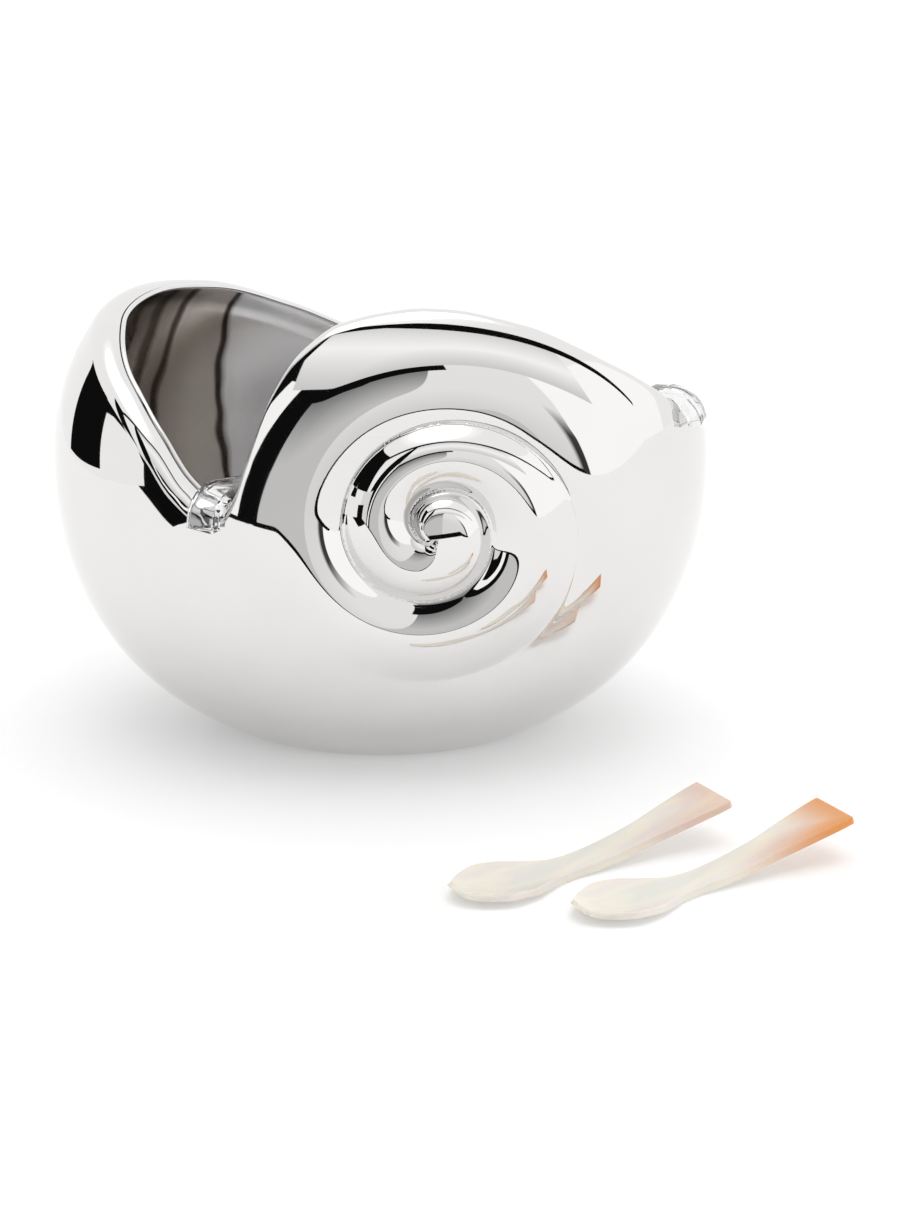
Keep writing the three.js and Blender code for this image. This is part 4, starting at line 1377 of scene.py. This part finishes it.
@dataclass(frozen=True)
class Studio:
    """A white table top, the cards round it and the camera that took the photograph."""

    camera_place: tuple[float, float, float] = (24.9 * MM, -1050.9 * MM, 422.0 * MM)
    camera_aim: tuple[float, float, float] = (24.9 * MM, -17.2 * MM, 45.8 * MM)
    photo_height: int = 1214
    focal_pixels: float = 3293.4
    # Width of the camera's sensor in millimetres, which its lens is measured by.
    sensor: float = 36.0
    table_colour: str = "#e0e0e0"
    # The table's light from below leaves only faint shadows.
    table_glow: float = 0.25
    # The dark edging along the table's front, up to its right end.
    edging_right: float = 0.25
    edging_width: float = 0.02
    # The black flag over the table's front left corner.
    flag_right: float = -0.28
    flag_back: float = -0.2
    flag_height: float = 1 * MM
    sky_strength: float = 1.25
    overhead_strength: float = 2.4
    # Elevation in degrees from which the overhead softbox fills the sky.
    overhead_from: float = 67.0
    # Elevation in degrees and grey of the tent over the table.
    tent: Sequence[tuple[float, str]] = (
        (-90, "#eeeeee"), (60, "#eeeeee"), (67, "#ffffff"), (90, "#ffffff"),
    )  # fmt: skip
    # From the furthest to the nearest, which covers the others.
    cards: Sequence[Card] = (
        Card(26, (-14, 16), (-30, 32), ("#cccccc", "#e4e4e4", "#e6e6e6")),
        Card(34, (-5, 5), (-30, 6), ("#333333", "#333333", "#4d4d4d"), softness=0.6),
        Card(60, (-24, 40), (-60, 34), ("#fcfcfc",) * 3, softness=0.02),
        Card(0, (-35, 13), (-30, 30), ("#c2c2c2", "#c2c2c2", "#606060")),
        Card(0, (-24, 16), (25, 32), BLACK),
        Card(-27, (-25, 3), (-60, 60), BLACK, lean=17),
        Card(-27, (-7, -2.5), (-60, 33), WHITE, lean=17),
        Card(0, (-22, 62), (31, 61), ("#cccccc", "#f7f7f7", "#d4d4d4")),
        Card(0, (-64, 84), (60.5, 64), BLACK),
        Card(-50, (-14, 9), (-60, 12), ("#d9d9d9",) * 3),
        Card(-62, (-6, 6), (-40, 1), BLACK),
        Card(-67, (-9, 9), (12, 48), BLACK),
        Card(-85, (-11, 10), (5, 12), BLACK),
        Card(-109, (-14, 15), (-12, 16), BLACK),
    )

    def build(self) -> None:
        """Sets the table, the light and the camera."""
        sheets = (
            Sheet("table_top", "lit_white_acrylic", self.table_colour,
                  (TABLE_LEFT, TABLE_FAR), (TABLE_FRONT, TABLE_FAR), glow=self.table_glow),
            Sheet("table_edging", "black_edging", FLAG_CLOTH, (TABLE_LEFT, self.edging_right),
                  (TABLE_FRONT - self.edging_width, TABLE_FRONT), only_mirrored=True),
            Sheet("corner_flag", "black_flag", FLAG_CLOTH, (TABLE_LEFT, self.flag_right),
                  (TABLE_FRONT, self.flag_back), self.flag_height, only_mirrored=True),
        )  # fmt: skip
        for sheet in sheets:
            sheet.lay()
        self.light()
        self.set_camera()

    def light(self) -> None:
        """Lights the scene with the tent and the cards. The camera itself sees plain white."""
        world = bpy.data.worlds.new("studio_cards")
        bpy.context.scene.world = world
        world.use_nodes = True
        tree = world.node_tree
        tree.nodes.clear()
        direction = add_node(tree, "ShaderNodeTexCoord").outputs["Generated"]
        height = add_node(tree, "ShaderNodeSeparateXYZ", {0: direction}).outputs[2]
        # The ramp runs from straight down to straight up, by the height of the direction.
        share = add_node(tree, "ShaderNodeMapRange", {0: height, 1: -1.0, 2: 1.0}).outputs[0]
        stops = [((1 + math.sin(math.radians(up))) / 2, grey) for up, grey in self.tent]
        seen = add_node(tree, "ShaderNodeValToRGB", {0: share}, stops).outputs[0]
        for card in self.cards:
            seen = self.drawn(tree, direction, seen, card)
        straight = add_node(tree, "ShaderNodeLightPath").outputs["Is Camera Ray"]
        views = {0: straight, 6: seen, 7: linear(WHITE_LIGHT)}
        shown = add_node(tree, "ShaderNodeMix", views, data_type="RGBA").outputs[2]
        limit = {0: height, 1: math.sin(math.radians(self.overhead_from))}
        overhead = add_node(tree, "ShaderNodeMath", limit, operation="GREATER_THAN").outputs[0]
        strengths = {0: overhead, 3: self.sky_strength, 4: self.overhead_strength}
        strength = add_node(tree, "ShaderNodeMapRange", strengths).outputs[0]
        glow = add_node(tree, "ShaderNodeBackground", {0: shown, 1: strength}).outputs[0]
        add_node(tree, "ShaderNodeOutputWorld", {0: glow})

    @staticmethod
    def drawn(
        tree: bpy.types.NodeTree,
        direction: bpy.types.NodeSocket,
        behind: bpy.types.NodeSocket,
        card: Card,
    ) -> bpy.types.NodeSocket:
        """Draws a card over what lies behind it.

        Args:
            tree: the sky's node tree.
            direction: the direction looked in.
            behind: the colour without the card.
            card: the card.

        Returns:
            The colour with the card.
        """
        # The direction is turned until the card's azimuth lies along Y, then thrown on to a
        # plane one unit ahead, where the card is a rectangle from -1 to 1 both ways.
        facing = {
            "Vector": direction,
            "Rotation": (0.0, math.radians(card.lean), math.radians(card.azimuth)),
            "Scale": (1.0, -1.0, 1.0),
        }
        turned = add_node(tree, "ShaderNodeMapping", facing, vector_type="TEXTURE").outputs[0]
        ahead = add_node(tree, "ShaderNodeSeparateXYZ", {0: turned}).outputs[1]
        nearness = add_node(tree, "ShaderNodeMath", {0: 1.0, 1: ahead}, operation="DIVIDE")
        thrown = {0: turned, "Scale": nearness.outputs[0]}
        flat = add_node(tree, "ShaderNodeVectorMath", thrown, operation="SCALE").outputs[0]
        left, right, bottom, top = (math.tan(math.radians(a)) for a in (*card.sides, *card.heights))
        outline = {
            "Vector": flat,
            "Location": ((left + right) / 2, 1.0, (bottom + top) / 2),
            "Scale": ((right - left) / 2, 1.0, (top - bottom) / 2),
        }
        fitted = add_node(tree, "ShaderNodeMapping", outline, vector_type="TEXTURE")
        place = fitted.outputs[0]
        size = add_node(tree, "ShaderNodeVectorMath", {0: place}, operation="ABSOLUTE")
        away = add_node(tree, "ShaderNodeSeparateXYZ", {0: size.outputs[0]}).outputs
        sides = {0: away[0], 1: away[2]}
        furthest = add_node(tree, "ShaderNodeMath", sides, operation="MAXIMUM").outputs[0]
        fade = {0: furthest, 1: 1.0 - card.softness, 2: 1.0, 3: 1.0, 4: 0.0}
        inside = add_node(tree, "ShaderNodeMapRange", fade).outputs[0]
        is_ahead = add_node(tree, "ShaderNodeMath", {0: ahead, 1: 0.0}, operation="GREATER_THAN")
        both = {0: inside, 1: is_ahead.outputs[0]}
        share = add_node(tree, "ShaderNodeMath", both, operation="MULTIPLY").outputs[0]
        height = add_node(tree, "ShaderNodeSeparateXYZ", {0: place}).outputs[2]
        climb = add_node(tree, "ShaderNodeMapRange", {0: height, 1: -1.0, 2: 1.0}).outputs[0]
        stops = list(zip((0.0, 0.5, 1.0), card.greys))
        greys = add_node(tree, "ShaderNodeValToRGB", {0: climb}, stops).outputs[0]
        layers = {0: share, 6: behind, 7: greys}
        return add_node(tree, "ShaderNodeMix", layers, data_type="RGBA").outputs[2]

    def set_camera(self) -> None:
        """Places the photograph's camera."""
        data = bpy.data.cameras.new("photo_camera")
        camera = linked("photo_camera", data)
        camera.location = self.camera_place
        aim = Vector(self.camera_aim) - Vector(self.camera_place)
        camera.rotation_euler = aim.to_track_quat("-Z", "Y").to_euler()
        data.sensor_width = self.sensor
        data.lens = self.focal_pixels / self.photo_height * self.sensor
        bpy.context.scene.camera = camera
        bpy.context.scene.view_settings.view_transform = "Standard"


def place_piece(
    piece: bpy.types.Object, body: str, node: str, material: bpy.types.Material
) -> None:
    """Dresses a piece and puts it in a CAD node's place.

    Args:
        piece: the finished piece.
        body: the body that it rides on.
        node: the CAD node that it stands for.
        material: its finish.
    """
    piece.data.materials.clear()
    piece.data.materials.append(material)
    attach(piece, body)
    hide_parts(node)
    log.info("%s: %d faces", piece.name, len(piece.data.polygons))


def main() -> None:
    """Builds the dish and its studio."""
    logging.basicConfig(level=logging.INFO)
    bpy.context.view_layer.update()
    Studio().build()
    silver = PolishedSilver().make()
    shell = ShellBowl()
    wire = RimWire(shell)
    cup = GlassCup(shell, wire)
    place_piece(shell.build(), "bowl", "bowl_shell", silver)
    place_piece(wire.build(), "bowl", "rim_wire", silver)
    place_piece(cup.build(), "cup", "caviar_cup", PressedGlass().make())
    # Side, place of the tip and strength of the tan.
    spoons = [
        ("left", (24.1 * MM, -151.8 * MM), 0.35),
        ("right", (60.7 * MM, -164.2 * MM), 1.0),
    ]
    for side, tip, tan_strength in spoons:
        spoon = PearlSpoon(f"pearl_spoon_{side}", tip)
        nacre = MotherOfPearl(f"mother_of_pearl_{side}", tip, spoon.turn, tan_strength)
        place_piece(
            spoon.build(), f"{side}_spoon", f"spoon_{side}", nacre.make()
        )


if __name__ == "__main__":
    main()
